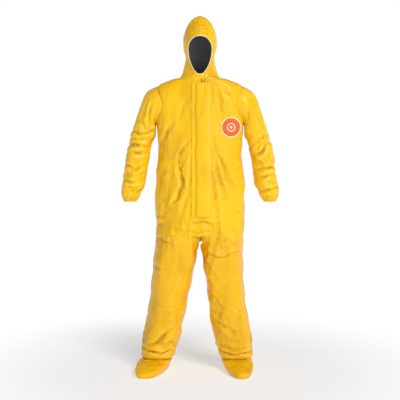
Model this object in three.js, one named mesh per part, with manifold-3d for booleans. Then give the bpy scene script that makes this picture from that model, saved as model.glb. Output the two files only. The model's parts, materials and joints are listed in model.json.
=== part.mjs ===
// A hooded chemical protective coverall with attached socks, standing as if it were worn.
// Millimetres. The front faces -Y, +X is the wearer's left, +Z is up, and the soles stand on z = 0.
import * as THREE from "three";
import { mergeVertices } from "three/addons/utils/BufferGeometryUtils.js";
import Module from "manifold-3d";

const wasm = await Module();
wasm.setup();

// ---------------------------------------------------------------- driving dimensions

const legLength = 723; // floor to crotch
const torsoLength = 777; // crotch to neckline
const hoodHeight = 312; // neckline to the top of the hood
const sleeveLength = 487; // centre of the armhole to the wrist edge, measured down

const hipHalf = 227; // half-widths of the body
const waistHalf = 209;
const chestHalf = 220;
const neckHalf = 100;
const chestBack = 140; // the back of the chest from the body's middle plane
const frontAtNeck = -119.5; // the front is a straight line from the neck to the crotch
const frontAtCrotch = -152;
const armholeRadius = 99;
const hoodHalf = 86;
const wristHalf = 30;
const footLength = 304;
const hemHeight = 80; // floor to the lower edge of the leg hem

const wall = 2; // coated film with its seam allowances
const seamGap = 0.3; // between pieces that meet
const tapeThickness = 0.8;
const tapeHalf = 10; // half-width of a seam tape
const runningGap = 1; // armhole to the sleeve that turns in it

const zipX = 14; // the zip lies a little to the wearer's left, under the storm flap
const zipHalfOpening = 9;
const zipLength = 688;
const flapWidth = 75;
const flapSewnX = -20;
const patchRadius = 51.5;

const shoulderHeight = legLength + torsoLength - 138; // the line on which the sleeves swing
const neckline = legLength + torsoLength;

// ---------------------------------------------------------------- looks

const look = (color, roughness, metalness = 0) => new THREE.MeshStandardMaterial({ color, roughness, metalness });
const looks = {
  film: look(0xf7c40e, 0.42),
  tape: look(0xf2bb10, 0.35),
  flap: look(0xf9ca18, 0.4),
  lining: look(0x2e2e30, 0.75),
  elastic: look(0xf4e7a8, 0.8),
  tapes: look(0xe9b514, 0.7),
  zip: look(0xe0a812, 0.35),
  sole: look(0xe3ae16, 0.7),
  patch: look(0xe4632b, 0.55),
  rim: look(0xf8e6a4, 0.6),
  adhesive: look(0xf5f1e2, 0.3),
};

const suit = new THREE.Group();

function piece(name, geometry, material, parent = suit) {
  const mesh = new THREE.Mesh(geometry, material);
  mesh.name = name;
  parent.add(mesh);
  return mesh;
}

// ---------------------------------------------------------------- geometry helpers

const { lerp, degToRad } = THREE.MathUtils;
const point = (x, y, z) => new THREE.Vector3(x, y, z);
const signedPower = (value, power) => Math.sign(value) * Math.abs(value) ** power;

// A smooth curve through one key of the rows, which doesn't swing past them.
function along(rows, key, at) {
  const last = rows.length - 1;
  const found = rows.findIndex((row, k) => k > 0 && at <= row.at);
  const i = found < 0 ? last : found;
  const slope = (k) => (rows[k + 1][key] - rows[k][key]) / (rows[k + 1].at - rows[k].at);
  const tangent = (k) => {
    if (k === 0) return slope(0);
    if (k === last) return slope(last - 1);
    const [before, after] = [slope(k - 1), slope(k)];
    return before * after <= 0 ? 0 : (2 * before * after) / (before + after);
  };
  const span = rows[i].at - rows[i - 1].at;
  const s = (at - rows[i - 1].at) / span;
  const rest = 1 - s;
  return (
    rows[i - 1][key] * (1 + 2 * s) * rest * rest +
    rows[i][key] * s * s * (3 - 2 * s) +
    tangent(i - 1) * span * s * rest * rest -
    tangent(i) * span * s * s * rest
  );
}

// A point of surface(u, v), moved out along the surface's normal.
function offset(surface, u, v, distance) {
  const step = 1e-3;
  const acrossU = surface(u + step, v).sub(surface(u - step, v));
  const acrossV = surface(u, v + step).sub(surface(u, v - step));
  return surface(u, v).addScaledVector(acrossU.cross(acrossV).normalize(), distance);
}

// Merges a geometry's shared corners, so that it is one closed body.
function closed(geometry) {
  geometry.deleteAttribute("normal");
  geometry.deleteAttribute("uv");
  return mergeVertices(geometry, 1e-3);
}

// A panel of cloth: a box whose two large faces follow the surface at two depths.
function sheet(surface, [u0, u1], [v0, v1], [countU, countV], [inner, outer] = [-wall, 0]) {
  const box = new THREE.BoxGeometry(1, 1, 1, countU, countV, 1);
  const place = box.attributes.position;
  for (let i = 0; i < place.count; i++) {
    const u = lerp(u0, u1, place.getX(i) + 0.5);
    const v = lerp(v0, v1, place.getY(i) + 0.5);
    place.setXYZ(i, ...offset(surface, u, v, place.getZ(i) > 0 ? outer : inner));
  }
  return closed(box);
}

// A sleeve of cloth: closed all round in u (0 to 2 pi), with a wall between two depths.
function tube(surface, [v0, v1], [countU, countV], [inner, outer] = [-wall, 0]) {
  const turns = 2 * countV + 2;
  const ring = new THREE.TorusGeometry(1, 0.5, turns, countU);
  const place = ring.attributes.position;
  for (let i = 0; i < place.count; i++) {
    const row = Math.floor(i / (countU + 1)) % turns;
    const u = (2 * Math.PI * (i % (countU + 1))) / countU;
    const outside = row <= countV;
    const v = outside ? lerp(v0, v1, row / countV) : lerp(v1, v0, (row - countV - 1) / countV);
    place.setXYZ(i, ...offset(surface, u, v, outside ? outer : inner));
  }
  return facingOut(closed(ring));
}

function signedVolume(geometry) {
  const [a, b, c] = [point(), point(), point()];
  const { index } = geometry;
  let sum = 0;
  for (let i = 0; i < index.count; i += 3) {
    a.fromBufferAttribute(geometry.attributes.position, index.getX(i));
    b.fromBufferAttribute(geometry.attributes.position, index.getX(i + 1));
    c.fromBufferAttribute(geometry.attributes.position, index.getX(i + 2));
    sum += a.dot(b.cross(c));
  }
  return sum / 6;
}

function turnFaces(geometry) {
  const { index } = geometry;
  for (let i = 0; i < index.count; i += 3) {
    const second = index.getX(i + 1);
    index.setX(i + 1, index.getX(i + 2));
    index.setX(i + 2, second);
  }
  return geometry;
}

const facingOut = (geometry) => (signedVolume(geometry) < 0 ? turnFaces(geometry) : geometry);

// The other side's copy of a piece.
const mirrored = (geometry) => turnFaces(geometry.clone().scale(-1, 1, 1));

// Closed meshes to solids for joining and cutting, and back.
function solid(geometry) {
  const bare = closed(geometry.clone());
  const triVerts = new Uint32Array(bare.index.array);
  const vertProperties = bare.attributes.position.array;
  return new wasm.Manifold(new wasm.Mesh({ numProp: 3, vertProperties, triVerts }));
}

function geometryOf(manifold) {
  const { vertProperties, triVerts } = manifold.getMesh();
  const geometry = new THREE.BufferGeometry();
  geometry.setAttribute("position", new THREE.BufferAttribute(vertProperties, 3));
  geometry.setIndex(new THREE.BufferAttribute(triVerts, 1));
  return geometry;
}

const block = (width, depth, height, x, y, z) => new THREE.BoxGeometry(width, depth, height).translate(x, y, z);

// A level section with rounded corners: u turns from +X towards +Y.
function levelSection(u, half, front, back, power) {
  const deep = (back - front) / 2;
  return [half * signedPower(Math.cos(u), 2 / power), (back + front) / 2 + deep * signedPower(Math.sin(u), 2 / power)];
}

// ---------------------------------------------------------------- body

// at runs from the crotch (0) to the neckline (1).
const torsoRows = [
  { at: 0, half: hipHalf, back: chestBack - 4, power: 2.5 },
  { at: 0.12, half: hipHalf - 2, back: chestBack, power: 2.5 },
  { at: 0.28, half: hipHalf + 3, back: chestBack - 6, power: 2.5 },
  { at: 0.4, half: (hipHalf + waistHalf) / 2, back: chestBack - 13, power: 2.5 },
  { at: 0.52, half: waistHalf, back: chestBack - 8, power: 2.6 },
  { at: 0.62, half: chestHalf - 4, back: chestBack - 2, power: 3.1 },
  { at: 0.72, half: chestHalf, back: chestBack, power: 3.8 },
  { at: 0.87, half: chestHalf, back: chestBack - 4, power: 3.8 },
  { at: 0.93, half: chestHalf - 4, back: chestBack - 12, power: 3.2 },
  { at: 0.955, half: chestHalf - 17, back: chestBack - 24, power: 2.7 },
  { at: 0.975, half: chestHalf - 55, back: chestBack - 35, power: 2.8 },
  { at: 1, half: neckHalf, back: 90, power: 3 },
];

function torsoSection(at) {
  return {
    half: along(torsoRows, "half", at),
    front: lerp(frontAtCrotch, frontAtNeck, at),
    back: along(torsoRows, "back", at),
    power: along(torsoRows, "power", at),
  };
}

const torsoHeight = (at) => legLength + at * torsoLength;

function torso(u, at) {
  const { half, front, back, power } = torsoSection(at);
  return point(...levelSection(u, half, front, back, power), torsoHeight(at));
}

// The angle at which the front passes a given x, and the depth of the front at a given x and z.
function angleAt(x, at) {
  const { half, power } = torsoSection(at);
  return -Math.acos(signedPower(x / half, power / 2));
}

function frontDepth(x, z) {
  const { half, front, back, power } = torsoSection((z - legLength) / torsoLength);
  const share = (1 - Math.abs(x / half) ** power) ** (1 / power);
  return (back + front) / 2 - ((back - front) / 2) * share;
}

// How far out the side of the body is at a given y and z.
function sideReach(y, z) {
  const { half, front, back, power } = torsoSection((z - legLength) / torsoLength);
  const share = Math.abs((y - (back + front) / 2) / ((back - front) / 2));
  return half * (1 - share ** power) ** (1 / power);
}

const torsoRise = [1.2 / torsoLength, 1];
const torsoRowsUp = 14;

// The front edges run straight beside the zip, and close to a seam below it.
function frontEdge(at) {
  const zipBottom = 1 - (zipLength + 12) / torsoLength;
  const opening = THREE.MathUtils.smoothstep(at, zipBottom - 0.06, zipBottom);
  return lerp(seamGap / 2, zipHalfOpening, opening);
}

const leftFront = (u, at) => torso(lerp(angleAt(zipX + frontEdge(at), at), -0.002, u), at);
const rightFront = (u, at) => torso(lerp(-Math.PI + 0.002, angleAt(zipX - frontEdge(at), at), u), at);

const armholeCutter = new THREE.CylinderGeometry(
  armholeRadius + runningGap,
  armholeRadius + runningGap,
  chestHalf,
  48,
)
  .rotateZ(Math.PI / 2)
  .translate(chestHalf, 0, shoulderHeight);
const armholeTools = [solid(armholeCutter), solid(mirrored(closed(armholeCutter.clone())))];
const withArmholes = (geometry) =>
  geometryOf(armholeTools.reduce((body, tool) => body.subtract(tool), solid(geometry)));

piece("front_left_panel", withArmholes(sheet(leftFront, [0, 1], torsoRise, [8, torsoRowsUp])), looks.film);
piece("front_right_panel", withArmholes(sheet(rightFront, [0, 1], torsoRise, [8, torsoRowsUp])), looks.film);

const backEdge = 0.001;
const backQuarter = [0.002, Math.PI / 2 - backEdge];
const backLeft = withArmholes(sheet(torso, backQuarter, torsoRise, [7, torsoRowsUp]));
piece("back_left_panel", backLeft, looks.film);
piece("back_right_panel", mirrored(backLeft), looks.film);

// Seam tapes lie on the cloth: at the sides, over the shoulders, down the back and round the neck.
const onCloth = [1.2, 1.2 + tapeThickness];
const strip = (surface, middle, alongV, countV) => {
  const width = (y) => signedPower(y / chestBack, 1.3);
  return sheet((u, v) => surface(middle + width(u), v), [-tapeHalf, tapeHalf], alongV, [2, countV], onCloth);
};
const underarm = (shoulderHeight - armholeRadius - 12 - legLength) / torsoLength;
const overShoulder = (shoulderHeight + armholeRadius + 9 - legLength) / torsoLength;
// The side tape has its rows where the panels have theirs, so that it lies flat on them.
const rowsBelowArm = Math.floor(((underarm - torsoRise[0]) / (1 - torsoRise[0])) * torsoRowsUp);
const sideTapeEnd = lerp(torsoRise[0], 1, rowsBelowArm / torsoRowsUp);
const sideTape = strip(torso, 0, [torsoRise[0], sideTapeEnd], rowsBelowArm);
piece("left_side_tape", sideTape, looks.tape);
piece("right_side_tape", mirrored(sideTape), looks.tape);
const shoulderTape = strip(torso, 0, [overShoulder, 0.99], 4);
piece("left_shoulder_tape", shoulderTape, looks.tape);
piece("right_shoulder_tape", mirrored(shoulderTape), looks.tape);
const backTapeAngle = tapeHalf / chestHalf;
const backTape = sheet(
  torso,
  [Math.PI / 2 - backTapeAngle, Math.PI / 2 + backTapeAngle],
  [0.004, 0.9],
  [2, 12],
  onCloth,
);
piece("back_seam_tape", backTape, looks.tape);

const necklineEdge = (at, side) => angleAt(zipX + side * (zipHalfOpening + 5), at);
const necklineSurface = (u, at) => torso(lerp(necklineEdge(at, 1), necklineEdge(at, -1) + 2 * Math.PI, u), at);
const necklineTape = sheet(necklineSurface, [0, 1], [0.993, 0.9995], [30, 1], onCloth);
piece("neckline_tape", necklineTape, looks.tape);

// A round binding follows each armhole on the body.
function armholeBinding() {
  const reach = armholeRadius + 5;
  const path = [];
  for (let k = 0; k < 24; k++) {
    const turn = (k * Math.PI) / 12;
    const y = reach * Math.cos(turn);
    const z = shoulderHeight + reach * Math.sin(turn);
    path.push(point(sideReach(y, z) + 3.4, y, z));
  }
  return facingOut(closed(new THREE.TubeGeometry(new THREE.CatmullRomCurve3(path, true), 28, 1.2, 4, true)));
}
piece("left_armhole_binding", armholeBinding(), looks.tape);
piece("right_armhole_binding", mirrored(armholeBinding()), looks.tape);

// Chest patch: a thin disc and its rim, both lying on the wearer's left chest.
const patchX = 0.705 * chestHalf;
const patchHeight = shoulderHeight - 109;
const onChest = (x, z) => point(x, frontDepth(x, z), z);
const disc = (u, v) =>
  onChest(patchX + (patchRadius - 8.3) * u * Math.sqrt(1 - (v * v) / 2),
    patchHeight + (patchRadius - 8.3) * v * Math.sqrt(1 - (u * u) / 2));
const rim = (u, radius) => onChest(patchX + radius * Math.cos(u), patchHeight - radius * Math.sin(u));
piece("chest_patch", sheet(disc, [-1, 1], [-1, 1], [6, 6], [0.5, 1.3]), looks.patch);
piece("chest_patch_rim", tube(rim, [patchRadius - 8, patchRadius], [28, 1], [0.5, 1.6]), looks.rim);

// ---------------------------------------------------------------- legs

// at runs from the hem (0) to the crotch (1); outer and inner are the powers of the two sides.
const legRows = [
  { at: 0, half: 85, deep: 95, middle: 6, outer: 2.2, inner: 2.2 },
  { at: 0.07, half: 87, deep: 94, middle: 6, outer: 2.2, inner: 2.2 },
  { at: 0.23, half: 93, deep: 94, middle: 6, outer: 2.2, inner: 2.2 },
  { at: 0.5, half: 98, deep: 100, middle: 1, outer: 2.2, inner: 2.2 },
  { at: 0.67, half: 102, deep: 108, middle: -4, outer: 2.2, inner: 2.3 },
  { at: 0.89, half: 107, deep: 123, middle: -6, outer: 2.1, inner: 3 },
  { at: 1, half: hipHalf / 2 - 1, deep: 133, middle: -8, outer: 1.95, inner: 5 },
];

// The wearer's left foot stands closer in than the right one, and turns out less.
const stances = [
  { side: "left", spread: 66, bow: 1.7, toeOut: 9 },
  { side: "right", spread: 98, bow: 1.3, toeOut: 18 },
];

const legHeight = (at) => lerp(hemHeight, legLength - seamGap / 2, at);
const legCentre = (stance, at) => hipHalf / 2 + 1.5 + stance.spread * (1 - at) ** stance.bow;

function legSurface(stance) {
  return (u, at) => {
    const half = along(legRows, "half", at);
    const deep = along(legRows, "deep", at);
    const middle = along(legRows, "middle", at);
    const power = along(legRows, Math.cos(u) > 0 ? "outer" : "inner", at);
    const [x, y] = levelSection(u, half, middle - deep, middle + deep, power);
    return point(legCentre(stance, Math.min(at, 1)) + x, y, legHeight(at));
  };
}

// Sock rows: at is the height; toe and heel are how far the section reaches from the ankle's middle.
const heel = 78;
const toe = footLength - heel;
const sockRows = [
  { at: 0, half: 52, toe: toe - 8, heel: heel - 6 },
  { at: 14, half: 60, toe: toe - 1, heel: heel - 1 },
  { at: 32, half: 68, toe: toe - 2, heel },
  { at: 50, half: 72, toe: toe - 40, heel },
  { at: hemHeight - 12, half: 73, toe: 0.5 * toe, heel },
  { at: hemHeight - 2, half: 71, toe: 78, heel: heel - 2 },
  { at: hemHeight + 70, half: 70, toe: 76, heel: heel - 3 },
];
const sockTop = hemHeight + 28;
const soleThickness = 3;

function sockSurface(u, height) {
  const half = along(sockRows, "half", height);
  const front = -along(sockRows, "toe", height);
  return point(...levelSection(u, half, front, along(sockRows, "heel", height), 2.3), height);
}

function soleOutline() {
  const outline = [];
  for (let k = 0; k < 20; k++) {
    const { x, y } = sockSurface((k * Math.PI) / 10, soleThickness);
    outline.push(new THREE.Vector2(x, y));
  }
  return new THREE.Shape(outline);
}

const hemBand = 38 / (legLength - hemHeight);
for (const stance of stances) {
  const leg = legSurface(stance);
  const other = (geometry) => (stance.side === "left" ? geometry : mirrored(geometry));
  const name = (part) => `${stance.side}_${part}`;
  const rise = [hemBand + 0.0005, 1];
  const edge = 0.003;
  const front = sheet(leg, [-Math.PI + edge, -edge], rise, [8, 8]);
  const back = sheet(leg, [edge, Math.PI - edge], rise, [8, 8]);
  piece(name("leg_front"), other(front), looks.film);
  piece(name("leg_back"), other(back), looks.film);
  piece(name("leg_hem"), other(tube(leg, [0, hemBand], [16, 1], [-wall, 0.6])), looks.film);
  piece(name("leg_tape"), other(strip(leg, 0, [hemBand + 0.01, 0.985], 8)), looks.tape);

  const foot = (geometry) =>
    geometry.rotateZ(degToRad(stance.toeOut)).translate(legCentre(stance, 0), along(legRows, "middle", 0), 0);
  const sock = tube(sockSurface, [soleThickness + seamGap, sockTop], [20, 6]);
  const sole = closed(new THREE.ExtrudeGeometry(soleOutline(), { depth: soleThickness, bevelEnabled: false }));
  piece(name("sock_upper"), other(foot(sock)), looks.film);
  piece(name("sock_sole"), other(foot(sole)), looks.sole);
}

// ---------------------------------------------------------------- sleeves

// Each row is a section of the sleeve: its middle from the armhole's centre, half its width, the tilt
// of its chord, half its depth and how far its middle lies back. The first rows fan round the underarm.
const fan = armholeRadius / 99;
const lower = (down) => -98.5 * fan - ((down - 98.5) * (sleeveLength - 98.5 * fan)) / (487 - 98.5);
const sleeveRows = [
  { at: 0, x: 0, z: 0, half: armholeRadius, tilt: 90, deep: armholeRadius, y: 0 },
  { at: 21, x: 19 * fan, z: -9.5 * fan, half: 98.6 * fan, tilt: 81.3, deep: armholeRadius - 2, y: 0 },
  { at: 50, x: 36.5 * fan, z: -33 * fan, half: 88 * fan, tilt: 70.4, deep: armholeRadius - 7, y: 1 },
  { at: 82, x: 47.5 * fan, z: -63 * fan, half: 73.8 * fan, tilt: 58.6, deep: armholeRadius - 13, y: 3 },
  { at: 120, x: 59.5, z: lower(98.5), half: 64, tilt: 40.5, deep: 79, y: 5 },
  { at: 165, x: 71.5, z: lower(142), half: 61, tilt: 19, deep: 74, y: 7 },
  { at: 221, x: 82.5, z: lower(197), half: 63, tilt: 13.7, deep: 70, y: 8 },
  { at: 285, x: 95.5, z: lower(260), half: 61, tilt: 8, deep: 68, y: 3 },
  { at: 363, x: 108.5, z: lower(337), half: 60, tilt: 5, deep: 65, y: -6 },
  { at: 425, x: 118.5, z: lower(398), half: 59.5, tilt: 0, deep: 60, y: -14 },
  { at: 470, x: 127, z: lower(443), half: 52, tilt: 2, deep: 49, y: -20 },
  { at: 515, x: 133, z: lower(487), half: wristHalf, tilt: 0, deep: wristHalf - 3, y: -25 },
];
const sleevePlane = chestHalf + 3;
const sleeveTuck = 8; // the sleeve's head starts this far inside the body
const elbowAt = 221;
const elbowBend = 70; // the most that the elbow bends, in degrees
const hemAt = 468;
const wristAt = 515;

function sleeve(u, at) {
  const row = Math.max(at, 0);
  const [half, deep] = [along(sleeveRows, "half", row), along(sleeveRows, "deep", row)];
  const tilt = degToRad(along(sleeveRows, "tilt", row));
  const x = sleevePlane + along(sleeveRows, "x", row) + half * Math.sin(u) * Math.cos(tilt);
  const y = along(sleeveRows, "y", row) + deep * Math.cos(u);
  const z = shoulderHeight + along(sleeveRows, "z", row) + half * Math.sin(u) * Math.sin(tilt);
  if (at >= 0) return point(x, y, z);
  return point(lerp(x, sideReach(y, z) - sleeveTuck, -at / 30), y, z);
}

// The elbow leaves a wedge open at the front, as tall as the bend needs, and a narrow band behind.
const elbowBand = 7;
const wedge = (u) => elbowBand + Math.max(0, -Math.cos(u)) * 70 * Math.tan(degToRad(elbowBend / 2 + 3));
const between = (from, to) => (u, v) => sleeve(u, lerp(from(u), to(u), v));
const upperArm = between(() => -30, (u) => elbowAt - wedge(u));
const elbowCloth = between((u) => elbowAt - wedge(u) + 1, (u) => elbowAt + wedge(u) - 1);
const forearm = between((u) => elbowAt + wedge(u), () => hemAt);
const wristHem = between(() => hemAt + 0.6, () => wristAt);
const wristBand = between(() => hemAt + 14, () => wristAt - 8);

const sleeveSeam = 0.005;
const frontHalf = [Math.PI / 2 + sleeveSeam, 1.5 * Math.PI - sleeveSeam];
const backHalf = [-Math.PI / 2 + sleeveSeam, Math.PI / 2 - sleeveSeam];
const sleevePieces = {
  upper_sleeve_front: [sheet(upperArm, frontHalf, [0, 1], [8, 8]), looks.film],
  upper_sleeve_back: [sheet(upperArm, backHalf, [0, 1], [8, 8]), looks.film],
  elbow_fabric: [tube(elbowCloth, [0, 1], [16, 2]), looks.film],
  forearm_front: [sheet(forearm, frontHalf, [0, 1], [8, 5]), looks.film],
  forearm_back: [sheet(forearm, backHalf, [0, 1], [8, 5]), looks.film],
  wrist_hem: [tube(wristHem, [0, 1], [16, 2], [-wall, 0.4]), looks.film],
  wrist_elastic: [tube(wristBand, [0, 1], [16, 2], [-wall - 3.4, -wall - 2]), looks.elastic],
};
for (const [part, [geometry, material]] of Object.entries(sleevePieces)) {
  piece(`left_${part}`, geometry, material);
  piece(`right_${part}`, mirrored(geometry), material);
}

// ---------------------------------------------------------------- hood

// at is the height over the neckline. Above the temple the section closes like a dome.
const hoodRows = [
  { at: -60, half: 92, front: -117, back: 88 },
  { at: 0, half: 92, front: -117, back: 88 },
  { at: 85, half: hoodHalf - 10, front: -115, back: 87 },
  { at: 165, half: hoodHalf, front: -113, back: 120 },
  { at: 235, half: hoodHalf, front: -106, back: 122 },
  { at: hoodHeight, half: hoodHalf, front: -85, back: 112 },
];
const temple = 165;

function hoodSection(height, inset = 0) {
  const closing = Math.min(Math.max((height - temple) / (hoodHeight - inset - temple), 0), 1);
  const dome = Math.sqrt(1 - closing * closing);
  const front = along(hoodRows, "front", height);
  const back = along(hoodRows, "back", height);
  return {
    half: (along(hoodRows, "half", height) - inset) * dome,
    middle: ((front + back) / 2) * dome,
    deep: ((back - front) / 2 - inset) * dome,
  };
}

// A closed egg: a cube's grid blown up to a ball, then stretched to the hood's sections.
function hoodEgg(inset) {
  const grid = new THREE.BoxGeometry(2, 2, 2, 7, 7, 7);
  const place = grid.attributes.position;
  for (let i = 0; i < place.count; i++) {
    const way = point().fromBufferAttribute(place, i).normalize();
    const up = way.z > 0;
    const height = temple + way.z * (up ? hoodHeight - inset - temple : temple + 40);
    const { half, middle, deep } = hoodSection(height, inset);
    const reach = up ? 1 : (1 - Math.abs(way.z) ** 8) ** (1 / 8);
    const turn = Math.atan2(way.y, way.x);
    place.setXYZ(i, half * reach * Math.cos(turn), middle + deep * reach * Math.sin(turn), neckline + height);
  }
  return solid(grid);
}

// Face opening: an egg with its narrow end at the chin, given as heights over the neckline.
const faceHalf = 60;
const faceOutline = new THREE.CatmullRomCurve3(
  [
    [0, 203],
    [-0.56, 194],
    [-0.9, 168],
    [-1, 138],
    [-0.92, 94],
    [-0.66, 50],
    [-0.28, 18],
    [0, 14],
    [0.28, 18],
    [0.66, 50],
    [0.92, 94],
    [1, 138],
    [0.9, 168],
    [0.56, 194],
  ].map(([x, height]) => point(x * faceHalf, height, 0)),
  true,
);

// A point of the face opening's edge, moved outwards in the plane of the opening.
function faceEdge(u, out) {
  const share = 1 - (((u / (2 * Math.PI)) % 1) + 1) % 1;
  const place = faceOutline.getPoint(share % 1);
  const way = faceOutline.getTangent(share % 1);
  return [place.x + way.y * out, place.y - way.x * out];
}

function onHood(x, height) {
  const { half, middle, deep } = hoodSection(height);
  return point(x, middle - deep * Math.sqrt(Math.max(1 - (x / half) ** 2, 0)), neckline + height);
}

function faceCutter(out) {
  const count = 28;
  const outline = Array.from({ length: count }, (_, k) => new THREE.Vector2(...faceEdge((k / count) * 2 * Math.PI, out)));
  const prism = new THREE.ExtrudeGeometry(new THREE.Shape(outline), { depth: 220, bevelEnabled: false });
  return solid(prism.rotateX(Math.PI / 2).translate(0, 0, neckline));
}

const hoodWay = solid(block(600, 600, 100, 0, 0, neckline - 50 + 2));
const hoodShell = (outside, inside, out) =>
  hoodEgg(outside).subtract(hoodEgg(inside)).subtract(faceCutter(out)).subtract(hoodWay);
const cloth = hoodShell(0, wall, 0);
const half = (side) => cloth.subtract(solid(block(600, 600, 800, -side * (300 - seamGap / 2), 0, neckline)));
piece("hood_left", geometryOf(half(1)), looks.film);
piece("hood_right", geometryOf(half(-1)), looks.film);
piece("hood_lining", geometryOf(hoodShell(wall + 0.4, wall + 1.6, 2)), looks.lining);

// The face hem is a band on the cloth round the opening, and the elastic shows at its edge.
const hemSurface = (u, out) => onHood(...faceEdge(u, out));
piece("face_hem", tube(hemSurface, [0.8, 12.5], [28, 1], [2.6, 3.6]), looks.film);
const elasticPath = Array.from({ length: 28 }, (_, k) => hemSurface((k / 28) * 2 * Math.PI, -3.4));
const elasticCurve = new THREE.CatmullRomCurve3(elasticPath, true);
piece("face_elastic", facingOut(closed(new THREE.TubeGeometry(elasticCurve, 40, 2.3, 5, true))), looks.elastic);

// The crown tape follows the middle seam from the face hem over the top and down to the nape.
function crown(x, way) {
  const onTop = way <= 1;
  const turn = lerp(degToRad(28), Math.PI, Math.min(way, 1));
  const height = onTop ? temple + (hoodHeight - temple) * Math.sin(turn) : temple * (2 - way);
  const { middle, deep } = hoodSection(height);
  return point(x, middle - deep * (onTop ? Math.sign(Math.cos(turn)) : -1), neckline + height);
}
piece("hood_seam_tape", sheet(crown, [-tapeHalf, tapeHalf], [0, 1.88], [1, 20], [3.6, 4.4]), looks.tape);

// ---------------------------------------------------------------- zip and storm flap

// The closure has a frame of its own: z runs up the straight front, and y = 0 is the cloth's face.
const closure = new THREE.Group();
const frontLean = Math.atan2(frontAtNeck - frontAtCrotch, torsoLength);
closure.position.set(0, frontAtNeck, neckline);
closure.rotation.x = -frontLean;
suit.add(closure);

const chainGap = 1.3; // from the zip's middle to each row of teeth, for the slider's post
const chainWidth = 3;
const chainBack = 3.7;
const tapeFace = chainBack + seamGap;
for (const [side, way] of [["left", 1], ["right", -1]]) {
  const tapeStrip = block(15, tapeThickness, zipLength, way * 9.3, tapeFace + tapeThickness / 2, -zipLength / 2 - 2);
  const chain = block(chainWidth, chainBack, zipLength, way * (chainGap + chainWidth / 2), chainBack / 2, 0);
  piece(`zip_tape_${side}`, tapeStrip, looks.tapes, closure).position.x = zipX;
  piece(`zip_teeth_${side}`, chain, looks.zip, closure).position.set(zipX, 0, -zipLength / 2 - 2);
}
const stop = block(9, 4.2, 5, 0, 0, 0);
piece("zip_bottom_stop", stop, looks.zip, closure).position.set(zipX, 0, -zipLength - 5);
const innerFlap = block(58, 1.2, zipLength + 20, 0, 0, 0);
piece("inner_flap", innerFlap, looks.film, closure).position.set(zipX, 9.4, -zipLength / 2 - 14);

// Slider: two plates joined by a post between the rows of teeth, with ears and a pin for the pull.
const sliderHeight = 12;
const sliderTop = -3;
const sliderPlate = 1.6;
const sliderFront = -seamGap - 0.1; // the back face of the front plate
const sliderBack = tapeFace + tapeThickness + 0.4;
const post = [
  [-6, sliderFront - sliderPlate],
  [6, sliderFront - sliderPlate],
  [6, sliderFront],
  [0.8, sliderFront],
  [0.8, sliderBack],
  [6, sliderBack],
  [6, sliderBack + 1.3],
  [-6, sliderBack + 1.3],
  [-6, sliderBack],
  [-0.8, sliderBack],
  [-0.8, sliderFront],
  [-6, sliderFront],
].map(([x, y]) => new THREE.Vector2(x, y));
const pinDepth = sliderFront - sliderPlate - 2.8;
const pinHeight = sliderTop - 4;
const pinRadius = 0.8;
const sliderBody = solid(
  new THREE.ExtrudeGeometry(new THREE.Shape(post), { depth: sliderHeight, bevelEnabled: false })
    .translate(0, 0, sliderTop - sliderHeight),
);
const ear = (x) => solid(block(1.1, 4, 4, x, pinDepth + 1.2, pinHeight));
const pin = solid(new THREE.CylinderGeometry(pinRadius, pinRadius, 6, 16).rotateZ(Math.PI / 2)
  .translate(0, pinDepth, pinHeight));
const slider = geometryOf(sliderBody.add(ear(2.6)).add(ear(-2.6)).add(pin));
piece("zip_slider", slider, looks.zip, closure).position.x = zipX;

// Pull: an eye round the pin and a tongue that hangs from it, cut from a plate across the zip.
const pullLength = 17;
const eye = 2.3;
const tongue = 0.8;
const tongueTop = Math.sqrt(eye * eye - tongue * tongue);
const pullShape = new THREE.Shape();
const tongueAngle = Math.atan2(-tongueTop, tongue);
pullShape.absarc(0, 0, eye, tongueAngle, Math.PI - tongueAngle + 2 * Math.PI, false);
pullShape.lineTo(-tongue, -pullLength);
pullShape.lineTo(tongue, -pullLength);
const pullHole = new THREE.Path().absarc(0, 0, pinRadius + 0.3, 0, 2 * Math.PI, true);
pullShape.holes.push(pullHole);
const pull = new THREE.ExtrudeGeometry(pullShape, { depth: 3, bevelEnabled: false, curveSegments: 8 });
// The plate's own x and y become the closure's y and z, and its thickness runs across the zip.
const standUp = new THREE.Matrix4().makeBasis(point(0, 1, 0), point(0, 0, 1), point(1, 0, 0));
pull.applyMatrix4(standUp).translate(-1.5, 0, 0);
piece("zip_pull", pull, looks.zip, closure).position.set(zipX, pinDepth, pinHeight);

// Storm flap: bowed over the zip, sewn along one edge, with a round lower corner on the free side.
const flapTop = -26;
const flapBottom = -zipLength - 4;
const flapCorner = 34;
const flapBow = 8;
function flap(u, v) {
  const x = flapSewnX + flapWidth * u;
  const nearFree = Math.max(0, x - (flapSewnX + flapWidth - flapCorner)) / flapCorner;
  const corner = flapCorner * (1 - Math.sqrt(Math.max(1 - nearFree * nearFree, 0)));
  const bow = Math.max(Math.sin(Math.PI * Math.min(Math.max(u, 0), 1)), 0) ** 0.7;
  return point(x, -1.3 - flapBow * bow - 0.6 * u, lerp(flapBottom + corner, flapTop, v));
}
piece("storm_flap", sheet(flap, [0.002, 0.995], [0, 1], [10, 5], [0, 1.6]), looks.flap, closure);
const flapTape = sheet(flap, [0.78, 0.9], [0.05, 0.985], [2, 5], [-1.6, -0.6]);
piece("flap_adhesive_strip", flapTape, looks.adhesive, closure);
const sewnStrip = block(15, 1, flapTop - flapBottom, flapSewnX - 13, -1, (flapTop + flapBottom) / 2);
piece("flap_seam_strip", sewnStrip, looks.flap, closure);

// ---------------------------------------------------------------- place

// The origin is the middle of the suit's box, on the floor.
suit.updateMatrixWorld(true);
const box = new THREE.Box3().setFromObject(suit);
suit.position.set(-(box.min.x + box.max.x) / 2, -(box.min.y + box.max.y) / 2, -box.min.z);

export default suit;
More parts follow.
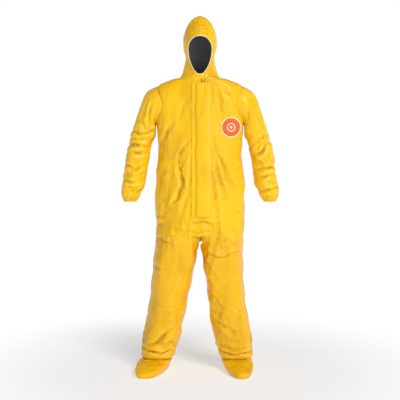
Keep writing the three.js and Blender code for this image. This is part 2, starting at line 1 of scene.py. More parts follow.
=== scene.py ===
# %% [markdown]
# # A hooded chemical protective suit
# The suit is a one-piece coverall of yellow coated film, with a hood, elastic cuffs, a storm flap
# over the zip and attached socks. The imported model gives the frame: every size and joint comes from it,
# and each cloth panel here replaces one plain panel there.

import json
import math

import bmesh
import bpy
import numpy as np
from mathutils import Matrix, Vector
from mathutils.bvhtree import BVHTree

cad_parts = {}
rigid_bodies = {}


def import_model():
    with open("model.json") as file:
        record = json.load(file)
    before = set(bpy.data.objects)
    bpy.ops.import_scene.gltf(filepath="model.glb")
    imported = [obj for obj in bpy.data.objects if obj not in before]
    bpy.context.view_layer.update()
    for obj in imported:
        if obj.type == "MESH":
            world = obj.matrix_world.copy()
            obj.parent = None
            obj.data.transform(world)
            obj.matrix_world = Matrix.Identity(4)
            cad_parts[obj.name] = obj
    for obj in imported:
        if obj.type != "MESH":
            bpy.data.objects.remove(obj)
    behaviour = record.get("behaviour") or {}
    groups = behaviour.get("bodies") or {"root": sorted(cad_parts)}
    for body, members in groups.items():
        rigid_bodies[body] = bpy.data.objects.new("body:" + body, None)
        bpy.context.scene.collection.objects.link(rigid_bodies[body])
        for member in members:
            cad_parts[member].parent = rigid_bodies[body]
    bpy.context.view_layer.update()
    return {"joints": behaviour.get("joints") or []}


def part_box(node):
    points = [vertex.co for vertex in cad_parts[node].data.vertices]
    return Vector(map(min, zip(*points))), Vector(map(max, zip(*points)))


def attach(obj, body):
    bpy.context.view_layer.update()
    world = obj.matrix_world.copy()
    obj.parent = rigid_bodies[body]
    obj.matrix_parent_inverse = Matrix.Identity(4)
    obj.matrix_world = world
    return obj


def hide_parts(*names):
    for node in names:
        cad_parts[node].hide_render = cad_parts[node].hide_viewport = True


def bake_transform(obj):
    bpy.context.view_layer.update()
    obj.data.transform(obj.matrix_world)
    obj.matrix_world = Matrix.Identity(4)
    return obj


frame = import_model()

# %% [markdown]
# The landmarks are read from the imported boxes: where the crotch, the neckline and the hem lie, and how far
# the body's middle plane is from the origin. The joints give the armhole's and the elbow's centres.

# %% Landmarks, in metres
joints = {joint["name"]: joint for joint in frame["joints"]}
armhole = np.array(joints["left_shoulder_swing"]["pos_m"])
elbow = {side: np.array(joints[side + "_elbow_bend"]["pos_m"]) for side in ("left", "right")}
depth_shift = armhole[1]
crotch = float(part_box("back_left_panel")[0].z)
neckline = float(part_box("neckline_tape")[1].z)
hem_low = float(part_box("left_leg_hem")[0].z)
hem_high = float(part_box("left_leg_hem")[1].z)
hood_top = float(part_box("hood_left")[1].z)
zip_x = float(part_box("zip_slider")[0].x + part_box("zip_slider")[1].x) / 2
torso_length = neckline - crotch
print("crotch", round(crotch, 3), "neckline", round(neckline, 3), "hood top", round(hood_top, 3))

# %% [markdown]
# Each part of the suit starts as a loft: level sections with rounded corners, whose half-width, front and
# back change smoothly with height. `smooth_rows` draws a curve through a few rows, and `rounded` gives a
# section's outline: the cosine and sine of the angle, each raised to a power below one, so that the
# corners fill out.

# %% Curves through rows, and rounded sections
def smooth_rows(rows, at):
    """A cubic through each column of the rows: slopes are the harmonic mean of the neighbours' slopes."""
    rows = np.asarray(rows, float)
    x, values = rows[:, 0], rows[:, 1:]
    slope = np.diff(values, axis=0) / np.diff(x)[:, None]
    before, after = slope[:-1], slope[1:]
    total = np.where(np.abs(before + after) < 1e-12, 1, before + after)
    middle = np.where(before * after <= 0, 0, 2 * before * after / total)
    tangent = np.vstack([slope[:1], middle, slope[-1:]])
    at = np.asarray(at, float)
    k = np.clip(np.searchsorted(x, at, side="left") - 1, 0, len(x) - 2)
    span = (x[k + 1] - x[k])[..., None]
    s = (at[..., None] - x[k][..., None]) / span
    rest = 1 - s
    return (values[k] * (1 + 2 * s) * rest**2 + values[k + 1] * s**2 * (3 - 2 * s)
            + tangent[k] * span * s * rest**2 - tangent[k + 1] * span * s**2 * rest)


def signed_power(value, power):
    """The value's size raised to the power, with its sign kept."""
    return np.sign(value) * np.abs(value) ** power


def rounded(angle, half, front, back, power):
    """x is half times cos to the 2/power; y is the middle plus the half-depth times sin to the 2/power."""
    x = half * signed_power(np.cos(angle), 2 / power)
    y = (front + back) / 2 + (back - front) / 2 * signed_power(np.sin(angle), 2 / power)
    return x, y


def smoothstep(low, high, value):
    """Rises from 0 at low to 1 at high, flat at both ends."""
    s = np.clip((value - low) / (high - low), 0, 1)
    return s * s * (3 - 2 * s)


def hump(value, middle, width):
    """A bell curve: 1 at the middle, falling off over the width."""
    return np.exp(-((value - middle) / width) ** 2)


def circle(count):
    """Angles evenly spaced round a circle."""
    return np.linspace(0, 2 * np.pi, count, endpoint=False)


# Rows: share of the height from crotch to neckline, half-width, front, back (all in mm), power.
torso_rows = [
    (0.00, 227, -152.0, 136, 2.5), (0.12, 225, -148.1, 140, 2.5), (0.28, 230, -142.9, 134, 2.5),
    (0.40, 218, -139.0, 127, 2.5), (0.52, 209, -135.1, 132, 2.6), (0.62, 216, -131.9, 138, 3.1),
    (0.72, 220, -128.6, 140, 3.8), (0.87, 220, -123.7, 136, 3.8), (0.93, 216, -121.8, 128, 3.2),
    (0.955, 203, -121.0, 116, 2.7), (0.975, 165, -120.3, 105, 2.8), (1.00, 100, -119.5, 90, 3.0),
]
# Rows: share of the height from hem to crotch, half-width, half-depth, middle (mm), power out and in.
leg_rows = [
    (0.00, 79, 88, 6, 2.2, 2.2), (0.07, 86, 94, 6, 2.2, 2.2), (0.23, 93, 94, 6, 2.2, 2.2),
    (0.50, 98, 100, 1, 2.2, 2.2), (0.67, 102, 108, -4, 2.2, 2.3), (0.89, 107, 123, -6, 2.1, 3.0),
    (1.00, 112.5, 133, -8, 1.95, 5.0),
]
# Rows: the distance down the sleeve, then its middle x and z from the armhole, half-width, tilt of
# the chord in degrees, half-depth and how far back the middle lies (mm).
sleeve_rows = [
    (0, 0, 0, 99, 90, 99, 0), (21, 19, -9.5, 98.6, 81.3, 97, 0), (50, 36.5, -33, 88, 70.4, 92, 1),
    (82, 47.5, -63, 73.8, 58.6, 86, 3), (120, 59.5, -98.5, 64, 40.5, 79, 5), (165, 71.5, -142, 61, 19, 74, 7),
    (221, 82.5, -197, 63, 13.7, 70, 8), (285, 95.5, -260, 61, 8, 68, 3), (363, 108.5, -337, 60, 5, 65, -6),
    (425, 118.5, -398, 59.5, 0, 60, -14), (470, 127, -443, 52, 2, 49, -20), (515, 133, -487, 30, 0, 27, -25),
]
# Rows: height over the neckline, half-width, front and back of the hood (mm).
hood_rows = [
    (-60, 92, -117, 88), (0, 92, -117, 88), (85, 76, -115, 87), (165, 86, -113, 120),
    (235, 86, -106, 122), (312, 86, -85, 112),
]
# Rows: height over the floor, half-width, reach to the toe, reach to the heel (mm).
sock_rows = [
    (0, 52, 218, 72), (14, 60, 225, 77), (32, 68, 224, 78), (50, 72, 186, 78), (68, 73, 113, 78),
    (78, 71, 78, 76), (150, 70, 76, 75),
]
stances = {"left": {"sign": 1, "spread": 66, "bow": 1.7, "toe_out": 9},
           "right": {"sign": -1, "spread": 98, "bow": 1.3, "toe_out": 18}}
mm = 0.001
print("rows ready for", "torso, legs, sleeves, hood and socks")

# %% [markdown]
# Cloth needs a grid of small faces. Each loft is worked out as a whole array of points: one row of the
# grid for each level, one column for each angle. `ring_quads` joins the columns round, `capped`
# closes both ends with a fan, and every later step works on plain arrays of points and quads.

# %% Lofts as arrays of points
def torso_point(angle, share):
    """A point of the body: a rounded section at that share of the height from the crotch."""
    row = smooth_rows(torso_rows, share)
    x, y = rounded(angle, row[..., 0], row[..., 1], row[..., 2], row[..., 3])
    return np.stack(np.broadcast_arrays(x * mm, y * mm + depth_shift, crotch + share * torso_length), -1)


def leg_point(side, angle, share):
    """A point of a leg: a rounded section whose middle moves out by the spread towards the hem."""
    stance = stances[side]
    row = smooth_rows(leg_rows, np.clip(share, 0, 1))
    power = np.where(np.cos(angle) > 0, row[..., 3], row[..., 4])
    parting = 5 * (1 - np.exp((share - 1) / 0.05)) * smoothstep(0.45, 0.8, share)
    x, y = rounded(angle, row[..., 0] - parting, row[..., 2] - row[..., 1], row[..., 2] + row[..., 1], power)
    middle = parting + 115 + stance["spread"] * np.clip(1 - share, 0, 1) ** stance["bow"]
    height = hem_low + share * (crotch - hem_low)
    return np.stack(np.broadcast_arrays(stance["sign"] * (middle + x) * mm, y * mm + depth_shift, height), -1)


def sleeve_point(side, angle, down):
    """A point of a sleeve: an ellipse on a chord that tilts from upright at the armhole to level below."""
    row = smooth_rows(sleeve_rows, down)
    x, z, half, tilt, deep, y = [row[..., k] for k in range(6)]
    tilt = np.radians(tilt)
    reach = half * np.sin(angle)
    place = np.stack([x + reach * np.cos(tilt), y + deep * np.cos(angle), z + reach * np.sin(tilt)], -1) * mm
    sign = stances[side]["sign"]
    return (place + [armhole[0], 0, 0]) * [sign, 1, 1] + [0, armhole[1], armhole[2]]


def hood_point(angle, height):
    """A point of the hood: an ellipse at that height over the neckline, closing like a dome at the top."""
    top, temple = 312, 165
    row = smooth_rows(hood_rows, height)
    dome = np.sqrt(np.clip(1 - np.clip((height - temple) / (top - temple), 0, 1) ** 2, 0, 1))
    middle, deep = (row[..., 1] + row[..., 2]) / 2 * dome, (row[..., 2] - row[..., 1]) / 2 * dome
    x = row[..., 0] * dome * np.cos(angle)
    y = middle + deep * np.sin(angle)
    return np.stack(np.broadcast_arrays(x * mm, y * mm + depth_shift, neckline + height * mm), -1)


def sock_point(side, angle, height):
    """A point of a sock: a level section that reaches to the toe low down and closes in at the ankle."""
    stance = stances[side]
    row = smooth_rows(sock_rows, height)
    x, y = rounded(angle, row[..., 0], -row[..., 1], row[..., 2], 2.3)
    turn = math.radians(stance["toe_out"])
    across = x * math.cos(turn) - y * math.sin(turn) + 115 + stance["spread"]
    along = x * math.sin(turn) + y * math.cos(turn) + 6
    place = stance["sign"] * across * mm, along * mm + depth_shift, height * mm
    return np.stack(np.broadcast_arrays(*place), -1)


def ring_quads(rows, columns):
    """The quads of a grid that closes on itself along each row."""
    row, column = np.meshgrid(np.arange(rows - 1), np.arange(columns), indexing="ij")
    after = (column + 1) % columns
    corners = [row * columns + column, row * columns + after, (row + 1) * columns + after,
               (row + 1) * columns + column]
    return np.stack([c.ravel() for c in corners], -1)


def sheet_quads(rows, columns):
    """The quads of a grid with four open edges."""
    row, column = np.meshgrid(np.arange(rows - 1), np.arange(columns - 1), indexing="ij")
    first = (row * columns + column).ravel()
    return np.stack([first, first + 1, first + columns + 1, first + columns], -1)


def mesh_object(name, points, faces):
    """A new object with these points and faces."""
    mesh = bpy.data.meshes.new(name)
    mesh.from_pydata(np.asarray(points).reshape(-1, 3).tolist(), [], [list(map(int, f)) for f in faces])
    mesh.update()
    made = bpy.data.objects.new(name, mesh)
    bpy.context.scene.collection.objects.link(made)
    return made


def points_of(thing):
    """The object's own points, as an array."""
    flat = np.empty(len(thing.data.vertices) * 3)
    thing.data.vertices.foreach_get("co", flat)
    return flat.reshape(-1, 3)


def normals_of(thing):
    """The object's point normals, as an array."""
    flat = np.empty(len(thing.data.vertices) * 3)
    thing.data.vertices.foreach_get("normal", flat)
    return flat.reshape(-1, 3)


def put(thing, points):
    """Gives the object these points."""
    thing.data.vertices.foreach_set("co", np.asarray(points, float).ravel())
    thing.data.update()


def edges_of(thing):
    """The object's edges, as pairs of point numbers."""
    flat = np.empty(len(thing.data.edges) * 2, dtype=np.int32)
    thing.data.edges.foreach_get("vertices", flat)
    return flat.reshape(-1, 2)


def write_values(thing, name, values):
    """Stores one number a point under this name."""
    layer = thing.data.attributes.get(name) or thing.data.attributes.new(name, "FLOAT", "POINT")
    layer.data.foreach_set("value", np.asarray(values, np.float32))


def write_vectors(thing, name, vectors):
    """Stores one vector a point under this name."""
    layer = thing.data.attributes.get(name) or thing.data.attributes.new(name, "FLOAT_VECTOR", "POINT")
    layer.data.foreach_set("vector", np.asarray(vectors, np.float32).ravel())


def values_of(thing, name):
    """The numbers stored at the points under this name."""
    values = np.empty(len(thing.data.vertices), np.float32)
    thing.data.attributes[name].data.foreach_get("value", values)
    return values


def turned_out(thing):
    """Makes the faces of a closed mesh point outwards."""
    work = bmesh.new()
    work.from_mesh(thing.data)
    bmesh.ops.remove_doubles(work, verts=work.verts, dist=1e-6)
    bmesh.ops.recalc_face_normals(work, faces=work.faces)
    work.to_mesh(thing.data)
    work.free()
    return thing


def applied(thing):
    """Turns the object's modifiers into its shape."""
    depsgraph = bpy.context.evaluated_depsgraph_get()
    shape = bpy.data.meshes.new_from_object(thing.evaluated_get(depsgraph))
    thing.modifiers.clear()
    thing.data = shape


def capped(name, points):
    """A closed tube: the rows of points joined round, with a fan over each end."""
    rows, columns = points.shape[:2]
    ends = np.array([points[0].mean(0), points[-1].mean(0)])
    faces = ring_quads(rows, columns).tolist()
    last = (rows - 1) * columns
    for k in range(columns):
        faces.append([rows * columns, (k + 1) % columns, k])
        faces.append([rows * columns + 1, last + k, last + (k + 1) % columns])
    return turned_out(mesh_object(name, np.vstack([points.reshape(-1, 3), ends]), faces))


print("loft helpers ready; armhole centre", np.round(armhole, 3).tolist())

# %% [markdown]
# The body is one closed form: torso and legs are capped tubes that reach into each other, and a voxel
# remesh joins them into even quads about 9 mm across.

# %% The joined form of torso and legs
def body_form(name, inset, voxel):
    """Torso and legs as one mesh, each section drawn in by the inset (m)."""
    around = circle(96)
    level = np.linspace(-0.015, 1.0, 70)
    parts = [capped(name, torso_point(around[None, :], np.clip(level, 0, 1)[:, None])
                    + np.array([0, 0, 1]) * np.minimum(level, 0)[:, None, None] * torso_length)]
    for side in stances:
        rise = np.linspace(0.0, 1.03, 60)
        parts.append(capped(name + side, leg_point(side, around[None, :], rise[:, None])))
    with bpy.context.temp_override(active_object=parts[0], selected_editable_objects=parts):
        bpy.ops.object.join()
    form = parts[0]
    remesh = form.modifiers.new("union", "REMESH")
    remesh.mode = "VOXEL"
    remesh.voxel_size = voxel
    smooth = form.modifiers.new("relax", "SMOOTH")
    smooth.factor, smooth.iterations = 0.5, 3
    applied(form)
    if inset:
        put(form, points_of(form) - normals_of(form) * inset)
    return form


body = body_form("body_cloth", inset=0, voxel=0.0095)
print("body:", len(body.data.vertices), "points")

# %% [markdown]
# Sleeves and hood are grids of their own. A sleeve runs from a few millimetres inside the armhole to the
# wrist. The hood's grid is made of rays: each starts on the edge of the face opening and ends on the
# neckline, on the middle of the back or at the crown.

# %% Sleeves
sleeve_columns, head_rows, head_start = 72, 12, 0.155
sleeve_down = np.concatenate([np.linspace(-30, -3, head_rows), np.linspace(1, 515, 66)])
sleeve_angle = circle(sleeve_columns)


def sleeve_grid(side, inset=0.0):
    """The sleeve's points: rows down it, columns round it. The first rows run back inside the armhole."""
    sign = stances[side]["sign"]
    grid = sleeve_point(side, sleeve_angle[None, :], np.maximum(sleeve_down, 0)[:, None])
    inward = (np.clip(-sleeve_down, 0, 30) / 30)[:, None]
    grid[..., 0] += (sign * head_start - grid[..., 0]) * inward
    middle = grid.mean(1, keepdims=True)
    reach = np.linalg.norm(grid - middle, axis=-1, keepdims=True)
    return grid - (grid - middle) * inset / reach


# %% Hood
rays, rings = 112, 46
# The face opening is worked out round its centre, in shares of its half-width and in mm of height.
face_half, face_centre = 60, np.array([0, 108.0])
hood_high, hood_low = 312, -9
face_rows = np.array([(0, 203), (0.56, 194), (0.9, 168), (1, 138),
                      (0.92, 94), (0.66, 50), (0.28, 18), (0, 14)])


def face_edge(turn):
    """The outline of the face opening: share of its half-width, and height over the neckline (mm)."""
    outline = np.vstack([face_rows, (face_rows * [-1, 1])[-2:0:-1]])
    outline = np.vstack([outline, outline[:1]])
    run = np.concatenate([[0], np.cumsum(np.linalg.norm(np.diff(outline * [face_half, 1], axis=0), axis=1))])
    at = np.asarray(turn) / (2 * np.pi) * run[-1]
    padded_run = np.concatenate([run[-4:-1] - run[-1], run, run[1:4] + run[-1]])
    loop = np.vstack([outline[-4:-1], outline, outline[1:4]])
    k = np.clip(np.searchsorted(padded_run, at, side="right") - 1, 1, len(padded_run) - 3)
    slope = (loop[2:] - loop[:-2]) / (padded_run[2:] - padded_run[:-2])[:, None]
    span = (padded_run[k + 1] - padded_run[k])[..., None]
    s = (at[..., None] - padded_run[k][..., None]) / span
    h00, h01 = (1 + 2 * s) * (1 - s) ** 2, s**2 * (3 - 2 * s)
    h10, h11 = s * (1 - s) ** 2, s**2 * (s - 1)
    return loop[k] * h00 + loop[k + 1] * h01 + (slope[k - 1] * h10 + slope[k] * h11) * span


def hood_grid(inset=0.0):
    """The hood's points: ring after ring from the face edge outwards; the first is the edge."""
    turn = circle(rays)
    edge = face_edge(turn)
    half = smooth_rows(hood_rows, edge[:, 1])[:, 0]
    start = np.stack([np.arcsin(np.clip(edge[:, 0] * face_half / half, -1, 1)), edge[:, 1]], -1)
    way = start - face_centre
    way[np.abs(way[:, 0]) < 1e-9, 0] = 0
    with np.errstate(divide="ignore"):
        to_back = np.where(way[:, 0] == 0, np.inf, np.pi / np.abs(way[:, 0]))
        to_level = np.where(way[:, 1] > 0, hood_high - face_centre[1], hood_low - face_centre[1]) / way[:, 1]
    end = face_centre + way * np.minimum(to_back, to_level)[:, None]
    ease = np.linspace(0, 1, rings) ** 1.12
    place = start[None] + (end - start)[None] * ease[:, None, None]
    grid = hood_point(place[..., 0] - np.pi / 2, place[..., 1])
    middle = np.array([0, depth_shift + 0.005, neckline + 0.12])
    away = grid - middle
    return grid - away / np.linalg.norm(away, axis=-1, keepdims=True) * inset


sleeves = {side: turned_out(mesh_object(side + "_sleeve_cloth", sleeve_grid(side),
                                        ring_quads(len(sleeve_down), sleeve_columns))) for side in stances}
for sleeve in sleeves.values():
    write_values(sleeve, "down", np.repeat(sleeve_down, sleeve_columns))
hood = turned_out(mesh_object("hood_cloth", hood_grid(), ring_quads(rings, rays)))
print("sleeves", [len(s.data.vertices) for s in sleeves.values()], "hood", len(hood.data.vertices))

# %% [markdown]
# The film creases where the wearer's body pushes it. The main folds are laid in as listed lines on the front
# and on the back with a depth and a width: the cloth is pressed in along the line and stands up beside it.
# The simulation then lets the cloth grow a little and sag, which makes the small folds.

# %% Folds laid in as listed lines
# Each fold: its side (-1 front, 1 back), the depth and the width in mm, then points (x, z) in mm.
body_folds = [
    (-1, 13, 12, [(-100, 1140), (-108, 1108), (-98, 1040), (-86, 957), (-120, 890), (-186, 806)]),
    (-1, 9, 11, [(-128, 1290), (-153, 1238), (-184, 1190), (-205, 1149)]),
    (-1, 7, 9, [(-60, 1190), (-80, 1150), (-101, 1118)]),
    (-1, 8, 11, [(-166, 1429), (-190, 1385), (-198, 1345), (-196, 1290)]),
    (-1, 5, 11, [(-60, 1400), (-90, 1330), (-120, 1270)]),
    (-1, 8, 12, [(62, 1235), (75, 1170), (108, 1080), (150, 985), (205, 870)]),
    (-1, 6, 9, [(66, 1120), (90, 1030), (118, 950), (150, 880)]),
    (-1, 8, 12, [(110, 1446), (140, 1418), (177, 1392), (205, 1350)]),
    (-1, 6, 10, [(70, 1470), (100, 1400), (112, 1330), (108, 1290)]),
    (-1, 5, 9, [(64, 1000), (74, 930), (70, 850)]),
    (-1, 5, 9, [(-44, 1120), (-50, 1000), (-56, 900), (-50, 800)]),
    (-1, 8, 9, [(-120, 790), (-60, 775), (0, 782), (60, 770), (130, 785)]),
    (-1, 7, 8, [(-150, 760), (-90, 738), (-30, 728), (40, 736), (100, 722)]),
    (-1, 6, 7, [(-200, 735), (-150, 712), (-90, 700)]),
    (-1, 6, 7, [(60, 700), (120, 690), (190, 712)]),
    (-1, 5, 7, [(80, 660), (140, 655), (200, 690)]),
    (-1, 8, 11, [(20, 610), (60, 550), (100, 490), (120, 450)]),
    (-1, 8, 11, [(40, 445), (70, 400), (95, 360), (110, 330)]),
    (-1, 8, 10, [(80, 270), (120, 255), (169, 226), (215, 220)]),
    (-1, 5, 10, [(-80, 560), (-100, 480), (-130, 400)]),
    (-1, 5, 10, [(-210, 620), (-215, 540), (-225, 460)]),
    (-1, 6, 9, [(-90, 330), (-150, 312), (-200, 320), (-250, 345)]),
    (-1, 9, 10, [(-140, 245), (-165, 225), (-221, 166), (-268, 138)]),
    (-1, 7, 8, [(110, 160), (150, 142), (200, 138), (245, 150)]),
    (-1, 7, 8, [(-150, 128), (-200, 118), (-250, 126), (-290, 138)]),
    (-1, 6, 7, [(120, 118), (180, 110), (240, 120)]),
    (1, 12, 14, [(-190, 1330), (-120, 1250), (-60, 1160), (-30, 1060)]),
    (1, 12, 14, [(190, 1325), (125, 1235), (65, 1150), (35, 1050)]),
    (1, 10, 12, [(-200, 1120), (-130, 1060), (-70, 1030), (0, 1040)]),
    (1, 10, 12, [(205, 1080), (140, 1010), (70, 985), (0, 1000)]),
    (1, 10, 12, [(-215, 900), (-140, 860), (-60, 850), (20, 870)]),
    (1, 10, 12, [(215, 930), (150, 900), (80, 905)]),
    (1, 12, 13, [(-225, 705), (-150, 672), (-90, 650), (-30, 690)]),
    (1, 12, 13, [(225, 700), (150, 664), (90, 648), (30, 690)]),
    (1, 9, 11, [(-50, 560), (-120, 520), (-200, 540)]),
    (1, 10, 11, [(60, 420), (130, 388), (210, 410)]),
    (1, 10, 11, [(-90, 400), (-160, 372), (-240, 395)]),
    (1, 8, 10, [(90, 320), (150, 300), (220, 315)]),
    (1, 8, 10, [(-110, 300), (-180, 280), (-260, 300)]),
    (1, 9, 9, [(110, 160), (170, 140), (240, 165)]),
    (1, 9, 9, [(-140, 150), (-200, 130), (-285, 155)]),
]
# Short folds run in from the sides: the side, the height (mm) and how much the inner end drops.
side_folds = [(-1, 1110, 1), (-1, 1015, -1), (-1, 905, 1), (-1, 818, 1), (-1, 772, 0), (1, 1065, 1),
              (1, 960, 0), (1, 842, 1), (1, 782, -1), (-1, 560, 1), (1, 500, 1), (1, 330, -1)]
body_folds += [(0, 5.5, 9, [(sign * 232, z), (sign * 205, z - 9), (sign * 165, z - 24 * drop)])
               for sign, z, drop in side_folds]
# A ledge: the cloth above the line hangs over the cloth below it, by this much (mm).
ledges = [
    (-1, 6, 22, [(-236, 716), (-224, 706), (-190, 694), (-158, 680), (-130, 672)]),
    (-1, 6, 22, [(232, 655), (200, 642), (160, 622), (112, 606), (70, 616), (45, 640)]),
]
# Folds of the sleeves, the same way; side 0 goes all round the arm.
sleeve_folds = {
    "right": [
        (-1, 7, 9, [(-226, 1400), (-250, 1330), (-262, 1270)]),
        (0, 8, 9, [(-355, 1244), (-307, 1220), (-243, 1228)]),
        (0, 10, 8, [(-372, 1165), (-322, 1168), (-267, 1149)]),
        (0, 9, 8, [(-362, 1133), (-307, 1124), (-250, 1130)]),
        (0, 8, 8, [(-365, 1203), (-320, 1196), (-255, 1190)]),
        (0, 7, 9, [(-385, 1075), (-330, 1044), (-275, 1062)]),
        (-1, 7, 8, [(-387, 986), (-338, 976), (-290, 990)]),
        (1, 9, 9, [(-380, 1010), (-330, 1030), (-285, 1020)]),
        (-1, 6, 9, [(-330, 1300), (-290, 1270), (-262, 1215)]),
        (-1, 6, 8, [(-390, 935), (-360, 905), (-345, 885)]),
        (-1, 6, 8, [(-300, 940), (-325, 908), (-335, 885)]),
        (1, 8, 10, [(-300, 1340), (-320, 1270), (-350, 1215)]),
    ],
    "left": [
        (-1, 7, 9, [(253, 1364), (236, 1330), (232, 1290)]),
        (0, 9, 9, [(253, 1149), (301, 1190), (340, 1212)]),
        (0, 12, 9, [(268, 1092), (317, 1140), (362, 1188)]),
        (0, 9, 8, [(277, 1036), (333, 1045), (389, 1069)]),
        (0, 7, 8, [(262, 1120), (310, 1165), (352, 1200)]),
        (0, 8, 8, [(290, 984), (341, 1010), (398, 1026)]),
        (-1, 7, 8, [(309, 930), (356, 936), (405, 955)]),
        (-1, 7, 9, [(300, 1300), (322, 1260), (345, 1240)]),
        (-1, 6, 8, [(330, 1100), (350, 1060), (395, 1040)]),
        (1, 9, 9, [(290, 1000), (340, 1020), (395, 1000)]),
        (1, 8, 10, [(300, 1340), (320, 1270), (350, 1215)]),
        (-1, 6, 8, [(320, 915), (345, 900), (352, 885)]),
    ],
}


def line_distance(x, z, line):
    """Each point's signed and plain distance to the line (mm), and how far along it lies (0 to 1)."""
    line = np.array(line, float)
    nearest, signed, share = np.full(x.shape, 1e9), np.zeros(x.shape), np.zeros(x.shape)
    lengths = np.linalg.norm(np.diff(line, axis=0), axis=1)
    run = 0.0
    for start, end, length in zip(line[:-1], line[1:], lengths):
        way = (end - start) / length
        along = np.clip((x - start[0]) * way[0] + (z - start[1]) * way[1], 0, length)
        dx, dz = x - start[0] - along * way[0], z - start[1] - along * way[1]
        away = np.hypot(dx, dz)
        closer = away < nearest
        signed = np.where(closer, np.sign(dx * way[1] - dz * way[0]) * away, signed)
        share = np.where(closer, (run + along) / lengths.sum(), share)
        nearest = np.minimum(nearest, away)
        run += length
    return signed, nearest, share


def facing_share(normals, side, least=0.25):
    """1 where the cloth looks to the fold's side of the suit, and 0 where it looks away; 1 for side 0."""
    return np.clip(normals[:, 1] * side * 2.2 + least, 0, 1) if side else 1


def fold_depth(x, z, line, depth, width, seed):
    """How far a point is pressed in: a valley along the line that fades at its ends, and a ridge beside."""
    signed, nearest, share = line_distance(x, z, line)
    waver = 0.35 * width * np.sin(0.045 * (x + z) + seed) + 0.3 * width * np.sin(0.085 * (x - z) + 2 * seed)
    across = signed + waver
    fade = np.sin(np.pi * np.clip(0.08 + 0.84 * share, 0, 1)) ** 0.7
    ends = np.exp(-np.maximum(nearest - np.abs(signed), 0) ** 2 / width**2)
    valley = hump(across, 0, width)
    ridge = hump(across, 1.9 * width, 1.2 * width)
    other = hump(across, -1.9 * width, 1.4 * width)
    return depth * fade * ends * (valley - 0.55 * ridge - 0.3 * other)


def laid_folds(points, normals, folds):
    """The points moved along their normals by every fold on their side of the suit."""
    x, z = points[:, 0] / mm, points[:, 2] / mm
    press = np.zeros(len(points))
    for number, (side, depth, width, line) in enumerate(folds):
        press += facing_share(normals, side) * fold_depth(x, z, line, depth, width, number)
    return points - normals * (press * mm)[:, None]


def from_line(x, z, line, seed):
    """Each point's wavering distance to the line, its plain one, and 1 along the line fading at its ends."""
    signed, nearest, share = line_distance(x, z, line)
    waver = 3.5 * np.sin(0.05 * (x + z) + seed) + 2.5 * np.sin(0.11 * (x - z) + 2 * seed)
    return signed + waver, nearest, np.sin(np.pi * np.clip(0.06 + 0.88 * share, 0, 1)) ** 0.8


def sharpened(points, normals, folds, steps=()):
    """Thin sharp creases along the folds, and ledges where cloth hangs over the cloth below it."""
    x, z = points[:, 0] / mm, points[:, 2] / mm
    press = np.zeros(len(points))
    for number, (side, depth, width, line) in enumerate(folds):
        facing = facing_share(normals, side)
        across, nearest, fade = from_line(x, z, line, number)
        crease = np.exp(-np.abs(across) / 5.5) - 0.45 * hump(np.abs(across), 11, 6.5)
        press += facing * fade * (0.36 * depth) * crease * hump(np.maximum(nearest - 24, 0), 0, 8)
    for number, (side, depth, width, line) in enumerate(steps):
        facing = facing_share(normals, side, 0.1)
        across, nearest, fade = from_line(x, z, line, number + 40)
        over = np.tanh(across / 3.0) * (1 if line[0][0] < line[-1][0] else -1)
        press += facing * fade * depth * over * np.exp(-np.abs(across) / width)
    return points - normals * (press * mm)[:, None]


print(len(body_folds), "folds laid on the body")

# %% [markdown]
# The cloth's rest shape is longer than the form it starts from: a few percent everywhere, more at the
# elbows, above the hems and round the crotch, so gravity gathers the extra length there. The seams that
# meet other pieces are pinned.

# %% Simulation
def stretched(height, rows):
    """Maps a height (mm) to its height in the rest shape: the integral of 1 plus the extra length."""
    fine = np.linspace(rows[0][0], rows[-1][0], 600)
    extra = np.interp(fine, *np.array(rows).T)
    run = np.concatenate([[0], np.cumsum((1 + extra[:-1]) * np.diff(fine))]) + fine[0]
    return np.interp(height, fine, run)


body_extra = [(60, 0.16), (150, 0.13), (230, 0.06), (420, 0.07), (600, 0.05), (690, 0.08), (780, 0.05),
              (1000, 0.045), (1200, 0.04), (1400, 0.02), (1520, 0.0)]


def cloth(thing, rest, pins, bending=3.0):
    """Adds a cloth modifier with this rest shape and these pin weights."""
    assert len(rest) == len(thing.data.vertices)
    thing.shape_key_add(name="start")
    key = thing.shape_key_add(name="rest")
    key.data.foreach_set("co", np.asarray(rest, float).ravel())
    group = thing.vertex_groups.new(name="pins")
    for weight in np.unique(np.round(pins, 1)):
        if weight > 0:
            group.add(np.nonzero(np.round(pins, 1) == weight)[0].tolist(), float(weight), "REPLACE")
    modifier = thing.modifiers.new("cloth", "CLOTH")
    values = modifier.settings
    values.quality, values.mass, values.air_damping = 4, 0.12, 4.0
    values.tension_stiffness = values.compression_stiffness = 40
    values.shear_stiffness, values.bending_stiffness = 20, bending
    values.tension_damping = values.compression_damping = 12
    values.bending_damping = 2
    values.pin_stiffness = 1.0
    values.vertex_group_mass = "pins"
    values.rest_shape_key = key
    modifier.collision_settings.distance_min = 0.003
    modifier.collision_settings.collision_quality = 2
    modifier.collision_settings.use_self_collision = False
    modifier.point_cache.frame_start, modifier.point_cache.frame_end = 1, 60
    return modifier


def collider(thing):
    """Makes the object a thing that the cloth rests on."""
    thing.modifiers.new("collision", "COLLISION")
    thing.collision.thickness_outer = 0.003
    thing.collision.damping = 0.6
    thing.collision.cloth_friction = 12
    return thing


def settled(thing):
    """Applies the simulation: the object keeps its last shape, with no modifier or shape key left."""
    depsgraph = bpy.context.evaluated_depsgraph_get()
    shape = bpy.data.meshes.new_from_object(thing.evaluated_get(depsgraph))
    thing.modifiers.clear()
    thing.shape_key_clear()
    thing.vertex_groups.clear()
    thing.data = shape


